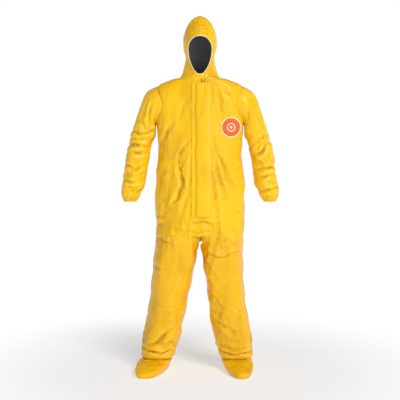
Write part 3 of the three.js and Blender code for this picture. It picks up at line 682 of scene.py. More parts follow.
closure_length = 0.71
base = points_of(body)
base_normals = normals_of(body)
shaped = laid_folds(base, base_normals, body_folds)
armhole_gap = np.hypot(base[:, 1] - armhole[1], base[:, 2] - armhole[2])
near_arm = (np.abs(base[:, 0]) > 0.15) & (armhole_gap < 0.155)
keep = np.where(near_arm, 1 - smoothstep(0.108, 0.15, armhole_gap), 0)
front = base_normals[:, 1] < -0.3
by_zip = front & (base[:, 2] > neckline - closure_length) & (base[:, 0] > -0.05) & (base[:, 0] < 0.07)
keep = np.maximum(keep, np.where(by_zip, 0.9, 0))
keep = np.maximum(keep, smoothstep(neckline - 0.03, neckline - 0.008, base[:, 2]))
keep = np.maximum(keep, 1 - smoothstep(hem_low + 0.006, hem_low + 0.03, base[:, 2]))
shaped = base + (shaped - base) * (1 - keep)[:, None]
put(body, shaped)
rest = shaped.copy()
rest[:, 2] = stretched(shaped[:, 2] / mm, body_extra) * mm
rest[:, :2] *= 1.03
cloth(body, rest, keep)

sleeve_extra = [(-30, 0.0), (30, 0.03), (120, 0.09), (200, 0.16), (300, 0.12), (400, 0.1), (468, 0.12),
                (520, 0.1)]
for side, sleeve in sleeves.items():
    straight = np.repeat(sleeve_down[:, None], sleeve_columns, 1)
    ring = points_of(sleeve).reshape(len(sleeve_down), sleeve_columns, 3)
    middle = ring.mean(1, keepdims=True)
    radius = np.linalg.norm(ring - middle, axis=-1) * 1.04
    rest = np.stack([radius * np.cos(sleeve_angle), radius * np.sin(sleeve_angle),
                     -stretched(straight, sleeve_extra) * mm], -1)
    down = straight.ravel()
    pins = np.maximum(1 - smoothstep(2, 26, down), smoothstep(462, 480, down))
    start = points_of(sleeve)
    folded = laid_folds(start, normals_of(sleeve), sleeve_folds[side])
    share = smoothstep(5, 40, down) * (1 - smoothstep(440, 500, down))
    put(sleeve, start + (folded - start) * share[:, None])
    cloth(sleeve, rest.reshape(-1, 3), pins, 2.0)

base = points_of(hood)
head_middle = [0, depth_shift, neckline + 0.12]
rest = (base - head_middle) * 1.035 + head_middle
first_ring = hood_grid()[0]
face_gap = np.min(np.linalg.norm(base[:, None] - first_ring[None], axis=-1), axis=1)
pins = np.maximum(1 - smoothstep(0.006, 0.02, face_gap), 1 - smoothstep(0.012, 0.03, base[:, 2] - neckline))
cloth(hood, rest, pins, 2.0)

dummies = [collider(body_form("body_inside", inset=0.016, voxel=0.013))]
for side in stances:
    arm = mesh_object(side + "_arm", sleeve_grid(side, inset=0.019)[head_rows:],
                      ring_quads(len(sleeve_down) - head_rows, sleeve_columns))
    dummies.append(collider(turned_out(arm)))
dummies.append(collider(turned_out(mesh_object("head", hood_grid(inset=0.012), ring_quads(rings, rays)))))

frames = 28
for number in range(1, frames + 1):
    bpy.context.scene.frame_set(number)
for thing in [body, hood, *sleeves.values()]:
    settled(thing)
for dummy in dummies:
    bpy.data.objects.remove(dummy)
bpy.context.scene.frame_set(1)
print("settled after", frames, "frames; body now", np.round(points_of(body).min(0), 3).tolist())

# %% [markdown]
# After the simulation each form is subdivided once. Fine creases are then added: waves with sharp crests
# in many directions, bent by slower waves, each present only in some patches. The crease height is
#   sum of w * (1 - |triangle wave(f * (p . d) + bend)|)^3.
# The fold value at a point is how far it lies under its smoothed surroundings. The material reads it to paint
# shade into the hollows and highlights onto the crests.

# %% Fine creases and the fold value
def finer(thing):
    """One level of subdivision, applied."""
    level = thing.modifiers.new("finer", "SUBSURF")
    level.levels = level.render_levels = 1
    applied(thing)


def crumple(points, waves, longest, shortest, seed):
    """Sharp-crested creases between these two wavelengths (m), from 0 to about 1."""
    draw = np.random.default_rng(seed)
    total = np.zeros(len(points))
    for number in range(waves):
        way = draw.normal(size=3)
        way /= np.linalg.norm(way)
        sway = draw.normal(size=(2, 3))
        sway *= 1 / (np.linalg.norm(sway, axis=1, keepdims=True) * longest * 2.6)
        wavelength = longest * (shortest / longest) ** (number / max(waves - 1, 1))
        shift = draw.uniform(0, 6.28, 4)
        bend = 0.55 * np.sin(points @ sway[0] * 6.28 + shift[0])
        bend += 0.4 * np.sin(points @ sway[1] * 9.1 + shift[1])
        phase = points @ way / wavelength + bend + shift[2]
        triangle = np.abs(2 * (phase - np.floor(phase + 0.5)))
        patch = smoothstep(0.1, 0.9, 0.5 + 0.5 * np.sin(points @ sway[0][::-1] * 7.7 + shift[3]))
        total += (1 - triangle) ** 3 * patch * (wavelength / longest) ** 0.8
    return total / waves**0.5


def smoothed(points, edges, rounds):
    """The points after this many rounds of moving each to the mean of its neighbours."""
    count = np.bincount(edges.ravel(), minlength=len(points))[:, None]
    for _ in range(rounds):
        total = np.zeros_like(points)
        for axis in range(points.shape[1]):
            total[:, axis] = (np.bincount(edges[:, 0], points[edges[:, 1], axis], len(points))
                              + np.bincount(edges[:, 1], points[edges[:, 0], axis], len(points)))
        points = total / np.maximum(count, 1)
    return points


def creased(thing, amount, seed, waves=9, rounds=14, folds=(), steps=()):
    """Adds sharp folds and fine creases of this height (m), then stores the fold value and the normals."""
    finer(thing)
    points, normals = points_of(thing), normals_of(thing)
    if folds:
        share = np.clip(amount(points) / 0.003, 0, 1)[:, None]
        put(thing, points + (sharpened(points, normals, folds, steps) - points) * share)
        points, normals = points_of(thing), normals_of(thing)
    height = crumple(points, waves, 0.11, 0.022, seed)
    put(thing, points + normals * ((height - 0.55) * amount(points))[:, None])
    points, normals, edges = points_of(thing), normals_of(thing), edges_of(thing)
    deep = np.einsum("ij,ij->i", smoothed(points, edges, rounds) - points, normals)
    write_values(thing, "fold", np.clip(deep / 0.0045, -1, 1))
    write_vectors(thing, "lie", normals)


def body_amount(points):
    """The height of the fine creases on the body: more round the crotch and above the hems."""
    z = points[:, 2]
    busy = hump(z, 0.69, 0.06) + hump(z, 0.15, 0.06) + 0.4 * hump(z, 0.3, 0.1)
    return (0.0042 + 0.003 * busy) * (1 - keep_value(points))


def keep_value(points):
    """1 where the cloth meets the closure, the armhole, the neckline or the hem, and 0 away from them."""
    gap = np.hypot(points[:, 1] - armhole[1], points[:, 2] - armhole[2])
    arm = (np.abs(points[:, 0]) > 0.15) * (1 - smoothstep(0.104, 0.125, gap))
    near_zip = (1 - smoothstep(0.032, 0.048, np.abs(points[:, 0] - zip_x))) * (points[:, 1] < 0)
    near_zip *= points[:, 2] > neckline - closure_length
    neck = smoothstep(neckline - 0.025, neckline - 0.008, points[:, 2])
    hem = 1 - smoothstep(hem_low, hem_low + 0.02, points[:, 2])
    return np.clip(np.maximum.reduce([arm, near_zip, neck, hem]), 0, 1)


def sleeve_amount(points):
    """The height of the fine creases on a sleeve: more at the elbow, none where it turns in the armhole."""
    z, out = points[:, 2], np.abs(points[:, 0]) - armhole[0]
    return (0.0038 + 0.004 * hump(z, 1.17, 0.05)) * smoothstep(0.0, 0.03, out) * smoothstep(0.9, 0.93, z)


def hood_amount(points):
    """The height of the fine creases on the hood: more beside the face and at the neck."""
    z = points[:, 2] - neckline
    by_face = (z < 0.2) * (points[:, 1] < 0.06)
    return 0.0022 * smoothstep(0.0, 0.03, z) * (1 - smoothstep(0.27, 0.3, z)) * (1 + by_face)


creased(body, body_amount, seed=11, folds=body_folds, steps=ledges)
for number, (side, sleeve) in enumerate(sleeves.items()):
    creased(sleeve, sleeve_amount, seed=21 + number, rounds=18, folds=sleeve_folds[side])
creased(hood, hood_amount, seed=31, rounds=16)

# The sides of the body bell out towards the hips and waver a little.
points = points_of(body)
sign, out = np.sign(points[:, 0]), np.abs(points[:, 0])
bell = 9 * np.interp(points[:, 2], [0.60, 0.72, 0.95, 1.15], [0, 1, 1, 0])
wavering = 2.6 * (np.sin(points[:, 2] / 0.031 + sign) + 0.7 * np.sin(points[:, 2] / 0.017 + 2 * sign))
wavering *= smoothstep(0.66, 0.72, points[:, 2]) * smoothstep(1.2, 1.12, points[:, 2])
points[:, 0] += sign * mm * (bell + wavering) * smoothstep(0.10, 0.19, out)
put(body, points)

# The hood spreads at its foot until it meets the edge of the body all the way round.
ring = torso_point(circle(240), np.ones(240))
centre = ring.mean(0)
ring_turn = np.arctan2(ring[:, 1] - centre[1], ring[:, 0] - centre[0])
ring_radius = np.hypot(ring[:, 0] - centre[0], ring[:, 1] - centre[1])
points = points_of(hood)
turn = np.arctan2(points[:, 1] - centre[1], points[:, 0] - centre[0])
radius = np.hypot(points[:, 0] - centre[0], points[:, 1] - centre[1])
edge = np.interp(turn, ring_turn, ring_radius, period=2 * np.pi) - 0.001
spread = np.exp(-np.maximum(points[:, 2] - neckline, 0) / 0.010) * np.maximum(edge - radius, 0)
points[:, 0] += np.cos(turn) * spread
points[:, 1] += np.sin(turn) * spread
put(hood, points)

# Under the arm the sleeve hangs full and almost touches the body's side.
for side, sleeve in sleeves.items():
    sign = stances[side]["sign"]
    points, normals = points_of(sleeve), normals_of(sleeve)
    inner = np.clip(-normals[:, 0] * sign, 0, 1)
    full = 0.024 * inner * hump(points[:, 2], 1.235, 0.042) * smoothstep(1.33, 1.28, points[:, 2])
    outer = 0.010 * np.clip(normals[:, 0] * sign, 0, 1) * hump(points[:, 2], 1.13, 0.09)
    x = points[:, 0] * sign - np.minimum(full, np.maximum(points[:, 0] * sign - 0.2265, 0)) + outer
    points[:, 0] = x * sign
    points[:, 2] -= 0.008 * (hump(x, 0.243, 0.034) * smoothstep(1.37, 1.43, points[:, 2]))
    put(sleeve, points)
print("points:", {thing.name: len(thing.data.vertices) for thing in [body, hood, *sleeves.values()]})

# %% [markdown]
# The cloth is now cut into its panels. Straight seams are planes: beside the zip, down the front and
# the back, along the sides, at the crotch and over the hem. Points next to the armhole's circle are moved
# onto it. Each panel becomes a closed sheet: its outer points, the same points moved in by the film's
# thickness, and a strip round the rim.

# %% Cutting into panels
film_thick = 0.0012
side_plane = depth_shift - 0.001
zip_half, zip_foot = 0.009, neckline - 0.692
near, end_strip = 0.02, 0.004


def cut(work, place, way, where):
    """Splits the faces that pass the test along a plane."""
    faces = [face for face in work.faces if where(face.calc_center_median())]
    geometry = set(faces)
    for face in faces:
        geometry.update(face.edges)
        geometry.update(face.verts)
    bmesh.ops.bisect_plane(work, geom=list(geometry), plane_co=place, plane_no=way, dist=2e-5)


work = bmesh.new()
work.from_mesh(body.data)
cut(work, (0, 0, crotch), (0, 0, 1), lambda c: abs(c.z - crotch) < near)
cut(work, (0, 0, hem_high), (0, 0, 1), lambda c: abs(c.z - hem_high) < near)
cut(work, (0, 0, neckline - end_strip), (0, 0, 1), lambda c: c.z > neckline - near)
cut(work, (0, 0, hem_low + end_strip), (0, 0, 1), lambda c: c.z < hem_low + near)
cut(work, (0, side_plane, 0), (0, 1, 0), lambda c: abs(c.y - side_plane) < near)
cut(work, (0, 0, 0), (1, 0, 0), lambda c: abs(c.x) < near and (c.y > side_plane or c.z < crotch))
cut(work, (zip_x, 0, 0), (1, 0, 0), lambda c: abs(c.x - zip_x) < near and c.y < side_plane and c.z > crotch)
for edge_x in (zip_x - zip_half, zip_x + zip_half):
    cut(work, (edge_x, 0, 0), (1, 0, 0),
        lambda c: abs(c.x - edge_x) < near and c.y < 0 and c.z > zip_foot - 0.01)
cut(work, (0, 0, zip_foot), (0, 0, 1),
    lambda c: abs(c.z - zip_foot) < near and abs(c.x - zip_x) < near and c.y < 0)
work.to_mesh(body.data)
work.free()

points, edges = points_of(body), edges_of(body)
hole, hole_radius, hole_from = armhole[1:], 0.1, 0.12
for _ in range(2):
    gap = np.linalg.norm(points[:, 1:] - hole, axis=1) - hole_radius
    gap[np.abs(points[:, 0]) < hole_from] = 1
    crossing = edges[(gap[edges[:, 0]] * gap[edges[:, 1]] < 0)]
    first, second = crossing.T
    nearer = np.unique(np.where(np.abs(gap[first]) < np.abs(gap[second]), first, second))
    flat = points[nearer, 1:] - hole
    points[nearer, 1:] = hole + flat / np.linalg.norm(flat, axis=1, keepdims=True) * (hole_radius + 1e-6)
put(body, points)
print("body cut:", len(body.data.polygons), "faces")


def face_arrays(thing):
    """The object's points, each face's list of points, each face's middle and the stored values."""
    mesh = thing.data
    corners = np.empty(len(mesh.loops), np.int32)
    mesh.loops.foreach_get("vertex_index", corners)
    start = np.empty(len(mesh.polygons), np.int32)
    mesh.polygons.foreach_get("loop_start", start)
    count = np.empty(len(mesh.polygons), np.int32)
    mesh.polygons.foreach_get("loop_total", count)
    middle = np.empty(len(mesh.polygons) * 3)
    mesh.polygons.foreach_get("center", middle)
    fold = np.empty(len(mesh.vertices), np.float32)
    mesh.attributes["fold"].data.foreach_get("value", fold)
    lie = np.empty(len(mesh.vertices) * 3, np.float32)
    mesh.attributes["lie"].data.foreach_get("vector", lie)
    lie = lie.reshape(-1, 3)
    lie = lie / np.maximum(np.linalg.norm(lie, axis=1, keepdims=True), 1e-9)
    return {"points": points_of(thing), "corners": corners, "start": start, "count": count,
            "middle": middle.reshape(-1, 3), "fold": fold, "lie": lie}


def panel(name, form, mask, thick=film_thick, lift=0.0):
    """A closed sheet from the form's faces in the mask, lifted off the form by this much."""
    faces = [form["corners"][a:a + n] for a, n in zip(form["start"][mask], form["count"][mask])]
    used, back = np.unique(np.concatenate(faces), return_inverse=True)
    ends = np.cumsum([0] + [len(f) for f in faces])
    faces = [back[a:b] for a, b in zip(ends[:-1], ends[1:])]
    count = len(used)
    lie = form["lie"][used]
    outer = form["points"][used] + lie * lift
    a = np.concatenate(faces)
    b = np.concatenate([np.roll(f, -1) for f in faces])
    forward = a.astype(np.int64) * count + b
    rim = ~np.isin(forward, b.astype(np.int64) * count + a)
    around = np.stack([b[rim], a[rim], a[rim] + count, b[rim] + count], -1)
    made = mesh_object(name, np.vstack([outer, outer - lie * thick]),
                       [*faces, *[f[::-1] + count for f in faces], *around])
    write_values(made, "fold", np.concatenate([form["fold"][used], -form["fold"][used]]))
    made.data.shade_smooth()
    made.data.normals_split_custom_set_from_vertices(np.vstack([lie, -lie]).tolist())
    return made


form = face_arrays(body)
x, y, z = form["middle"].T
in_hole = (np.hypot(y - hole[0], z - hole[1]) < hole_radius) & (np.abs(x) > hole_from)
in_zip = (np.abs(x - zip_x) < zip_half) & (y < 0) & (z > zip_foot)
capped_end = (z > neckline - end_strip) | (z < hem_low + end_strip)
shown = ~(in_hole | in_zip | capped_end)
upper, hem = z > crotch, z < hem_high
before = y < side_plane
panels = {
    "front_left_panel": upper & before & (x > zip_x), "front_right_panel": upper & before & (x < zip_x),
    "back_left_panel": upper & ~before & (x > 0), "back_right_panel": upper & ~before & (x < 0),
}
for side, stance in stances.items():
    own = (x * stance["sign"] > 0) & ~upper
    panels[side + "_leg_front"] = own & ~hem & before
    panels[side + "_leg_back"] = own & ~hem & ~before
    panels[side + "_leg_hem"] = own & hem
cloths = {name: panel(name + "_cloth", form, mask & shown) for name, mask in panels.items()}
print({name: len(made.data.polygons) for name, made in cloths.items()})

# %% [markdown]
# Each sleeve is one sheet from inside the armhole to the wrist's hem.
# The wrist's hem is gathered by its elastic: small pleats run down it and fade out above it, with painted
# shade in their hollows and painted highlights on their crests. The hood is cut along its crown, and its dark
# lining, a dark grey sheet that paints the shade inside the hood, is the same surface a little further in.

# %% Sleeves, wrists and hood
wrist_line = 470
for number, (side, sleeve) in enumerate(sleeves.items()):
    points, down = points_of(sleeve), values_of(sleeve, "down")
    end = points[down > 505].mean(0)
    turn = np.arctan2(points[:, 1] - end[1], points[:, 0] - end[0])
    pleats = (np.sin(21 * turn + number) + 0.55 * np.sin(34 * turn + 1.3 + number + 0.02 * down)
              + 0.4 * np.sin(13 * turn + 2.1))
    rise = smoothstep(445, 500, down) * (1 - 0.4 * smoothstep(506, 515, down))
    points += normals_of(sleeve) * (pleats * 0.0013 * rise)[:, None]
    points[:, 2] -= 0.0012 * np.sin(17 * turn + number) * smoothstep(500, 515, down)
    put(sleeve, points)
    # Painted shade and highlight: the pleats lower the fold value on their crests and raise it in their
    # hollows, so the material lightens the crests and darkens the hollows.
    write_values(sleeve, "fold", np.clip(values_of(sleeve, "fold") - 0.3 * rise * pleats, -1, 1))
    write_vectors(sleeve, "lie", normals_of(sleeve))
    form = face_arrays(sleeve)
    spans = zip(form["start"], form["count"])
    lengthwise = np.array([down[form["corners"][a:a + n]].mean() for a, n in spans])
    cloths[side + "_sleeve"] = panel(side + "_sleeve_cloth_piece", form, lengthwise < wrist_line)
    cloths[side + "_wrist_hem"] = panel(side + "_wrist_hem_cloth", form, lengthwise > wrist_line, thick=0.002)

points = points_of(hood)
first_ring = hood_grid()[0]
face_middle = first_ring.mean(0)
offset = points - face_middle
turn = np.arctan2(offset[:, 0], offset[:, 2])
by_face = np.zeros(len(points))
for place in first_ring:
    by_face = np.maximum(by_face, hump(np.linalg.norm(points - place, axis=1), 0, 0.03))
gathers = np.sin(46 * turn) + 0.6 * np.sin(71 * turn + 1) + 0.5 * np.sin(29 * turn + 2)
points += normals_of(hood) * (gathers * 0.0012 * by_face * (1 - 0.75 * by_face**4))[:, None]
put(hood, points)
# Painted shade and highlight: the gathers beside the face lower the fold value on their crests and raise it
# in their hollows.
write_values(hood, "fold", np.clip(values_of(hood, "fold") - 0.4 * gathers * by_face, -1, 1))
write_vectors(hood, "lie", normals_of(hood))
form = face_arrays(hood)
half = {"left": form["middle"][:, 0] > 0, "right": form["middle"][:, 0] < 0}
for side, mask in half.items():
    cloths["hood_" + side] = panel(f"hood_{side}_cloth", form, mask)
over_neck = form["middle"][:, 2] > neckline + 0.002
# Painted shade: the lining is a dark sheet inside the hood that stands in for the shade there.
cloths["hood_lining"] = panel("hood_painted_shade_lining_cloth", form, over_neck, thick=0.0008, lift=-0.0022)
print("sleeves, wrist hems, hood halves and lining made")

# %% [markdown]
# The smaller sheets follow the cloth: every point of a tape is dropped onto the nearest place of the
# settled cloth and lifted a little. The armhole's binding and the face's elastic are swept tubes.

# %% Tapes, bindings and tubes
trees = {}
for key, thing in {"body": body, "hood": hood}.items():
    tree_work = bmesh.new()
    tree_work.from_mesh(thing.data)
    trees[key] = BVHTree.FromBMesh(tree_work)
    tree_work.free()


def dropped(tree, places):
    """The nearest places on the cloth, and the cloth's normals there."""
    found = [tree.find_nearest(Vector(place)) for place in np.asarray(places).reshape(-1, 3)]
    shape = np.shape(places)
    return tuple(np.array([f[part][:] for f in found]).reshape(shape) for part in (0, 1))


def form_of(grid, lie, quads):
    """Grid points, their normals and quads in the form that `panel` reads."""
    points, lie = grid.reshape(-1, 3), lie.reshape(-1, 3)
    count = np.full(len(quads), 4)
    return {"points": points, "corners": quads.ravel(), "start": np.arange(len(quads)) * 4, "count": count,
            "middle": points[quads].mean(1), "fold": np.zeros(len(points), np.float32),
            "lie": lie / np.linalg.norm(lie, axis=1, keepdims=True)}


def grid_normals(grid, closed_way=False):
    """The normals of a grid of points from its two directions."""
    if closed_way:
        after = np.roll(grid, -1, 1) - np.roll(grid, 1, 1)
    else:
        after = np.gradient(grid, axis=1)
    return np.cross(after, np.gradient(grid, axis=0))


def thin_sheet(name, grid, thick, outward, closed_way=False):
    """A closed sheet over a grid; outward is a direction that its outer face looks towards."""
    lie = grid_normals(grid, closed_way)
    quads = ring_quads(*grid.shape[:2]) if closed_way else sheet_quads(*grid.shape[:2])
    if np.sum(lie * outward) < 0:
        lie = -lie
        quads = quads[:, ::-1]
    first = grid.reshape(-1, 3)[quads[0]]
    if np.dot(np.cross(first[1] - first[0], first[2] - first[0]), lie.reshape(-1, 3)[quads[0, 0]]) < 0:
        quads = quads[:, ::-1]
    return panel(name, form_of(grid, lie, quads), np.ones(len(quads), bool), thick)


def ribbon(name, tree, path, across, half=0.009, lift=0.0012, thick=0.0005):
    """A tape along a path on the cloth, this much each side of it."""
    offset = np.linspace(-1, 1, 7)[None, :, None] * half
    across = np.broadcast_to(across, path.shape)
    place, lie = dropped(trees[tree], path[:, None] + across[:, None] * offset)
    lie = lie / np.linalg.norm(lie, axis=-1, keepdims=True)
    mean = lie.mean(axis=1, keepdims=True) + 0 * lie
    grid = place + mean / np.linalg.norm(mean, axis=-1, keepdims=True) * lift
    for _ in range(2):
        grid[1:-1] = (grid[:-2] + 2 * grid[1:-1] + grid[2:]) / 4
    return thin_sheet(name, grid, thick, lie)


def swept(name, path, wide, high, outward, sides=10):
    """A closed loop of tube: wide across the surface, high away from it."""
    ahead = np.roll(path, -1, 0) - np.roll(path, 1, 0)
    ahead /= np.linalg.norm(ahead, axis=1, keepdims=True)
    up = outward - ahead * np.sum(outward * ahead, axis=1, keepdims=True)
    up /= np.linalg.norm(up, axis=1, keepdims=True)
    side_way = np.cross(ahead, up)
    turn = circle(sides)[None, :, None]
    wide, high = (np.broadcast_to(size, len(path))[:, None, None] for size in (wide, high))
    grid = path[:, None] + side_way[:, None] * np.cos(turn) * wide + up[:, None] * np.sin(turn) * high
    quads = ring_quads(len(path) + 1, sides) % (len(path) * sides)
    made = turned_out(mesh_object(name, grid, quads))
    made.data.shade_smooth()
    write_values(made, "fold", np.zeros(len(made.data.vertices)))
    return made


unit = {"x": np.array([1.0, 0, 0]), "y": np.array([0, 1.0, 0]), "z": np.array([0, 0, 1.0])}
underarm = (armhole[2] - 0.112 - crotch) / torso_length
over_arm = (armhole[2] + 0.108 - crotch) / torso_length
extras = {}
for side, stance in stances.items():
    angle = 0.0 if stance["sign"] > 0 else np.pi
    path = torso_point(np.full(90, angle), np.linspace(0.004, underarm, 90))
    path[:, 1] = side_plane
    extras[side + "_side_tape"] = ribbon(side + "_side_tape_strip", "body", path, unit["y"])
    path = torso_point(np.full(20, angle), np.linspace(over_arm, 0.99, 20))
    extras[side + "_shoulder_tape"] = ribbon(side + "_shoulder_tape_strip", "body", path, unit["y"])
    path = leg_point(side, np.full(90, 0.0), np.linspace(0.08, 0.985, 90))
    path[:, 1] = side_plane
    extras[side + "_leg_tape"] = ribbon(side + "_leg_tape_strip", "body", path, unit["y"])
    turn = circle(160)
    ring = np.stack([np.full(160, 0.4 * stance["sign"]), armhole[1] + 0.1035 * np.cos(turn),
                     armhole[2] + 0.1035 * np.sin(turn)], -1)
    hits = [trees["body"].ray_cast(Vector(p), Vector((-stance["sign"], 0, 0))) for p in ring]
    path = np.array([hit[0][:] for hit in hits])
    outward = np.array([hit[1][:] for hit in hits]) + unit["x"] * stance["sign"]
    for _ in range(4):
        path = (np.roll(path, 1, 0) + 2 * path + np.roll(path, -1, 0)) / 4
    extras[side + "_armhole_binding"] = swept(side + "_armhole_seam", path + outward * 0.0003,
                                              wide=0.0022, high=0.0011, outward=outward)
path = torso_point(np.full(120, np.pi / 2), np.linspace(0.004, 0.985, 120))
extras["back_seam_tape"] = ribbon("back_seam_tape_strip", "body", path, unit["x"])
start = math.acos(signed_power((zip_x + 0.014) / 0.1, 1.5))
turn = np.linspace(-start, 2 * np.pi - math.acos(signed_power((zip_x - 0.014) / 0.1, 1.5)), 140)
path = torso_point(turn, np.full(140, 0.9875))
up_slope = torso_point(turn, np.full(140, 0.994)) - torso_point(turn, np.full(140, 0.981))
up_slope /= np.linalg.norm(up_slope, axis=1, keepdims=True)
extras["neckline_tape"] = ribbon("neckline_tape_strip", "body", path, up_slope, half=0.0045)
crown_turn = np.linspace(0, 1, 110)
over = np.where(crown_turn < 0.45, -np.pi / 2, np.pi / 2)
level = np.where(crown_turn < 0.45, 216 + (311.9 - 216) * (crown_turn / 0.45) ** 0.6,
                 311.9 - (311.9 - 22) * np.clip((crown_turn - 0.45) / 0.55, 0, 1) ** 1.5)
path = hood_point(over, level)
extras["hood_seam_tape"] = ribbon("hood_seam_tape_strip", "hood", path, unit["x"], half=0.0065, lift=0.001)

# The face's hem is a raised band round the opening, and the elastic shows at its edge.
turn = circle(240)
edge = face_edge(turn)


def on_hood(outline):
    """Points of the hood's front over an outline of x share and height."""
    half = smooth_rows(hood_rows, outline[..., 1])[..., 0]
    aside = np.arcsin(np.clip(outline[..., 0] * face_half / half, -1, 1))
    return hood_point(aside - np.pi / 2, outline[..., 1])


ring_rows = []
for out in (1.0, 5.0, 9.0, 13.0):
    away = (edge - face_centre) * [face_half, 1]
    away = away / np.linalg.norm(away, axis=1, keepdims=True) / [face_half, 1]
    ring_rows.append(on_hood(edge + away * out))
place, lie = dropped(trees["hood"], np.array(ring_rows))
gather = np.sin(52 * turn) + 0.5 * np.sin(83 * turn + 1)
rise = np.array([0.0016, 0.0024, 0.0024, 0.0012])[:, None, None] + 0.0004 * gather[None, :, None]
extras["face_hem"] = thin_sheet("face_hem_band", place + lie * rise, 0.0012, lie, closed_way=True)
inner = on_hood(edge - away * 0.6)
outward = dropped(trees["hood"], inner)[1]
ruffle = 1 + 0.16 * np.sin(60 * turn) + 0.1 * np.sin(97 * turn)
extras["face_elastic"] = swept("face_elastic_cord", inner - unit["y"] * 0.0016,
                               wide=0.0021 * ruffle, high=0.0024 * ruffle, outward=outward)
print("extras:", sorted(extras))

# %% [markdown]
# The closure has axes of its own: z runs up the straight front and y = 0 is the cloth's face. The storm
# flap is bowed over the zip, sewn along one edge, with a rounded lower corner on the free side.

# %% Storm flap, zip and patch
lean_down, lean_up = 32.5 / math.hypot(32.5, 777), 777 / math.hypot(32.5, 777)


def closure(x, y, z):
    """A point of the closure (mm across, mm behind the cloth's face, mm up from the neckline)."""
    return np.stack(np.broadcast_arrays(np.asarray(x) * mm,
                                        (z * lean_down + y * lean_up - 119.5) * mm + depth_shift,
                                        neckline_level + (z * lean_up - y * lean_down) * mm), -1)


neckline_level = 1.5
flap_top, flap_foot, flap_left, flap_wide, flap_corner = -26, -692, -20, 75, 34
u, v = np.meshgrid(np.linspace(0.003, 0.994, 34), np.linspace(0, 1, 190))
x = flap_left + flap_wide * u
near_free = np.clip(x - (flap_left + flap_wide - flap_corner), 0, None) / flap_corner
foot = flap_foot + flap_corner * (1 - np.sqrt(np.clip(1 - near_free**2, 0, 1)))
z = foot + (flap_top - foot) * v
bow = np.sin(np.pi * u) ** 0.7
ripple = (np.sin(z / 41 + 1.2) + 0.7 * np.sin(z / 23 + 4 * u) + 0.5 * np.sin(z / 12.5 + 2)) * u**2
dents = crumple(np.stack([x, 0 * x, z], -1).reshape(-1, 3) * mm, 7, 0.09, 0.025, 5).reshape(x.shape)
dented = 1.6 * (dents - 0.5) * np.sin(np.pi * np.clip(u, 0.06, 1))
lift = 8 * bow + 0.6 * u + 0.7 * (ripple + 2.2 * u**2) + dented + 0.5
seam_groove = 0.8 * hump(x - flap_left, 7, 1.4) + 0.5 * hump(x, 47, 1.4)
grid = closure(x, -1.3 - np.maximum(lift - seam_groove, 0.3), z)
waver = 1.5 * mm * (np.sin(grid[..., 2] / 0.037) + 0.7 * np.sin(grid[..., 2] / 0.017 + 1))
grid[..., 0] += waver
flap = thin_sheet("storm_flap_cloth", grid, thick=0.0014, outward=-unit["y"])
# Painted shadow and highlight: the fold value draws a dark line along the flap's left edge, lightens the
# ripples' crests and darkens their hollows.
write_values(flap, "fold", np.tile((hump(x - flap_left, 2, 5) * 0.8 - 0.25 * ripple * 0.5).ravel(), 2))
extras["storm_flap"] = flap
x, z = np.meshgrid(np.linspace(-40.4, -25.6, 7), np.linspace(flap_foot, flap_top, 130))
grid = closure(x, -1.5 - 0.35 * np.sin(z / 17 + x / 9) - 0.5 * np.cos((x + 33) / 7.4 * 1.5), z)
extras["flap_seam_strip"] = thin_sheet("flap_seam_band", grid, thick=0.0009, outward=-unit["y"])

# Zip teeth: a row each side, half a pitch apart, each tooth a small block with a nose towards the middle.
pitch, tooth_rows = 3.0, 228
for side, way in (("left", 1), ("right", -1)):
    level = -4 - pitch * np.arange(tooth_rows) - (pitch / 2 if way > 0 else 0)
    outline = np.array([(0.4, -0.5), (0.4, 0.5), (2.2, 0.62), (4.2, 0.62), (4.2, -0.62), (2.2, -0.62)])
    corners = np.concatenate([np.c_[outline, np.full(6, 0.5)], np.c_[outline, np.full(6, 3.4)]])
    tooth = np.stack([zip_x / mm + way * corners[None, :, 0] + 0 * level[:, None],
                      corners[None, :, 2] + 0 * level[:, None], level[:, None] + corners[None, :, 1]], -1)
    faces = [[0, 1, 2, 3, 4, 5], [11, 10, 9, 8, 7, 6],
             *[[k, k + 6, (k + 1) % 6 + 6, (k + 1) % 6] for k in range(6)]]
    faces = [[number * 12 + k for k in face] for number in range(tooth_rows) for face in faces]
    extras["zip_teeth_" + side] = turned_out(mesh_object("zip_teeth_row_" + side,
                                                         closure(*np.moveaxis(tooth, -1, 0)), faces))

# The patch lies smoothly on the wearer's left chest, just in front of the cloth.
patch_x, patch_z, patch_radius = 0.1551, 1.253, 0.0515


def on_chest(radius, turn):
    """Points in front of the cloth, at these distances and turns from the patch's middle."""
    x, z = patch_x + radius * np.cos(turn), patch_z + radius * np.sin(turn)
    depth = np.array([trees["body"].ray_cast(Vector((a, -0.5, b)), Vector((0, 1, 0)))[0].y
                      for a, b in zip(x.ravel(), z.ravel())])
    a, b = x.ravel(), z.ravel()
    terms = np.stack([np.ones(x.size), a, b, a**2, a * b, b**2], -1)
    even = terms @ np.linalg.lstsq(terms, depth, rcond=None)[0]
    depth = np.minimum(0.75 * even + 0.25 * depth, depth - 0.0004)
    return np.stack([x, depth.reshape(x.shape), z], -1)


turn = circle(96)
radius = np.linspace(0.0003, patch_radius, 26)
disc = on_chest(radius[:, None], turn[None, :])
inside = int(np.searchsorted(radius, 0.0445))
grid = disc[:inside + 1] - unit["y"] * 0.0009
patch_middle = grid[0].mean(0)
extras["chest_patch"] = thin_sheet("chest_patch_cloth", grid, thick=0.0008,
                                   outward=-unit["y"], closed_way=True)
rim_height = 0.0014 + 0.0006 * np.sin(np.linspace(0, np.pi, len(disc) - inside))
grid = disc[inside:] - unit["y"] * rim_height[:, None, None]
extras["chest_patch_rim"] = thin_sheet("chest_patch_border", grid, thick=0.0012,
                                       outward=-unit["y"], closed_way=True)
print("flap, zip teeth and patch made")

# %% [markdown]
# The socks are lofts like the legs, with their own creases over the instep and round the ankle.

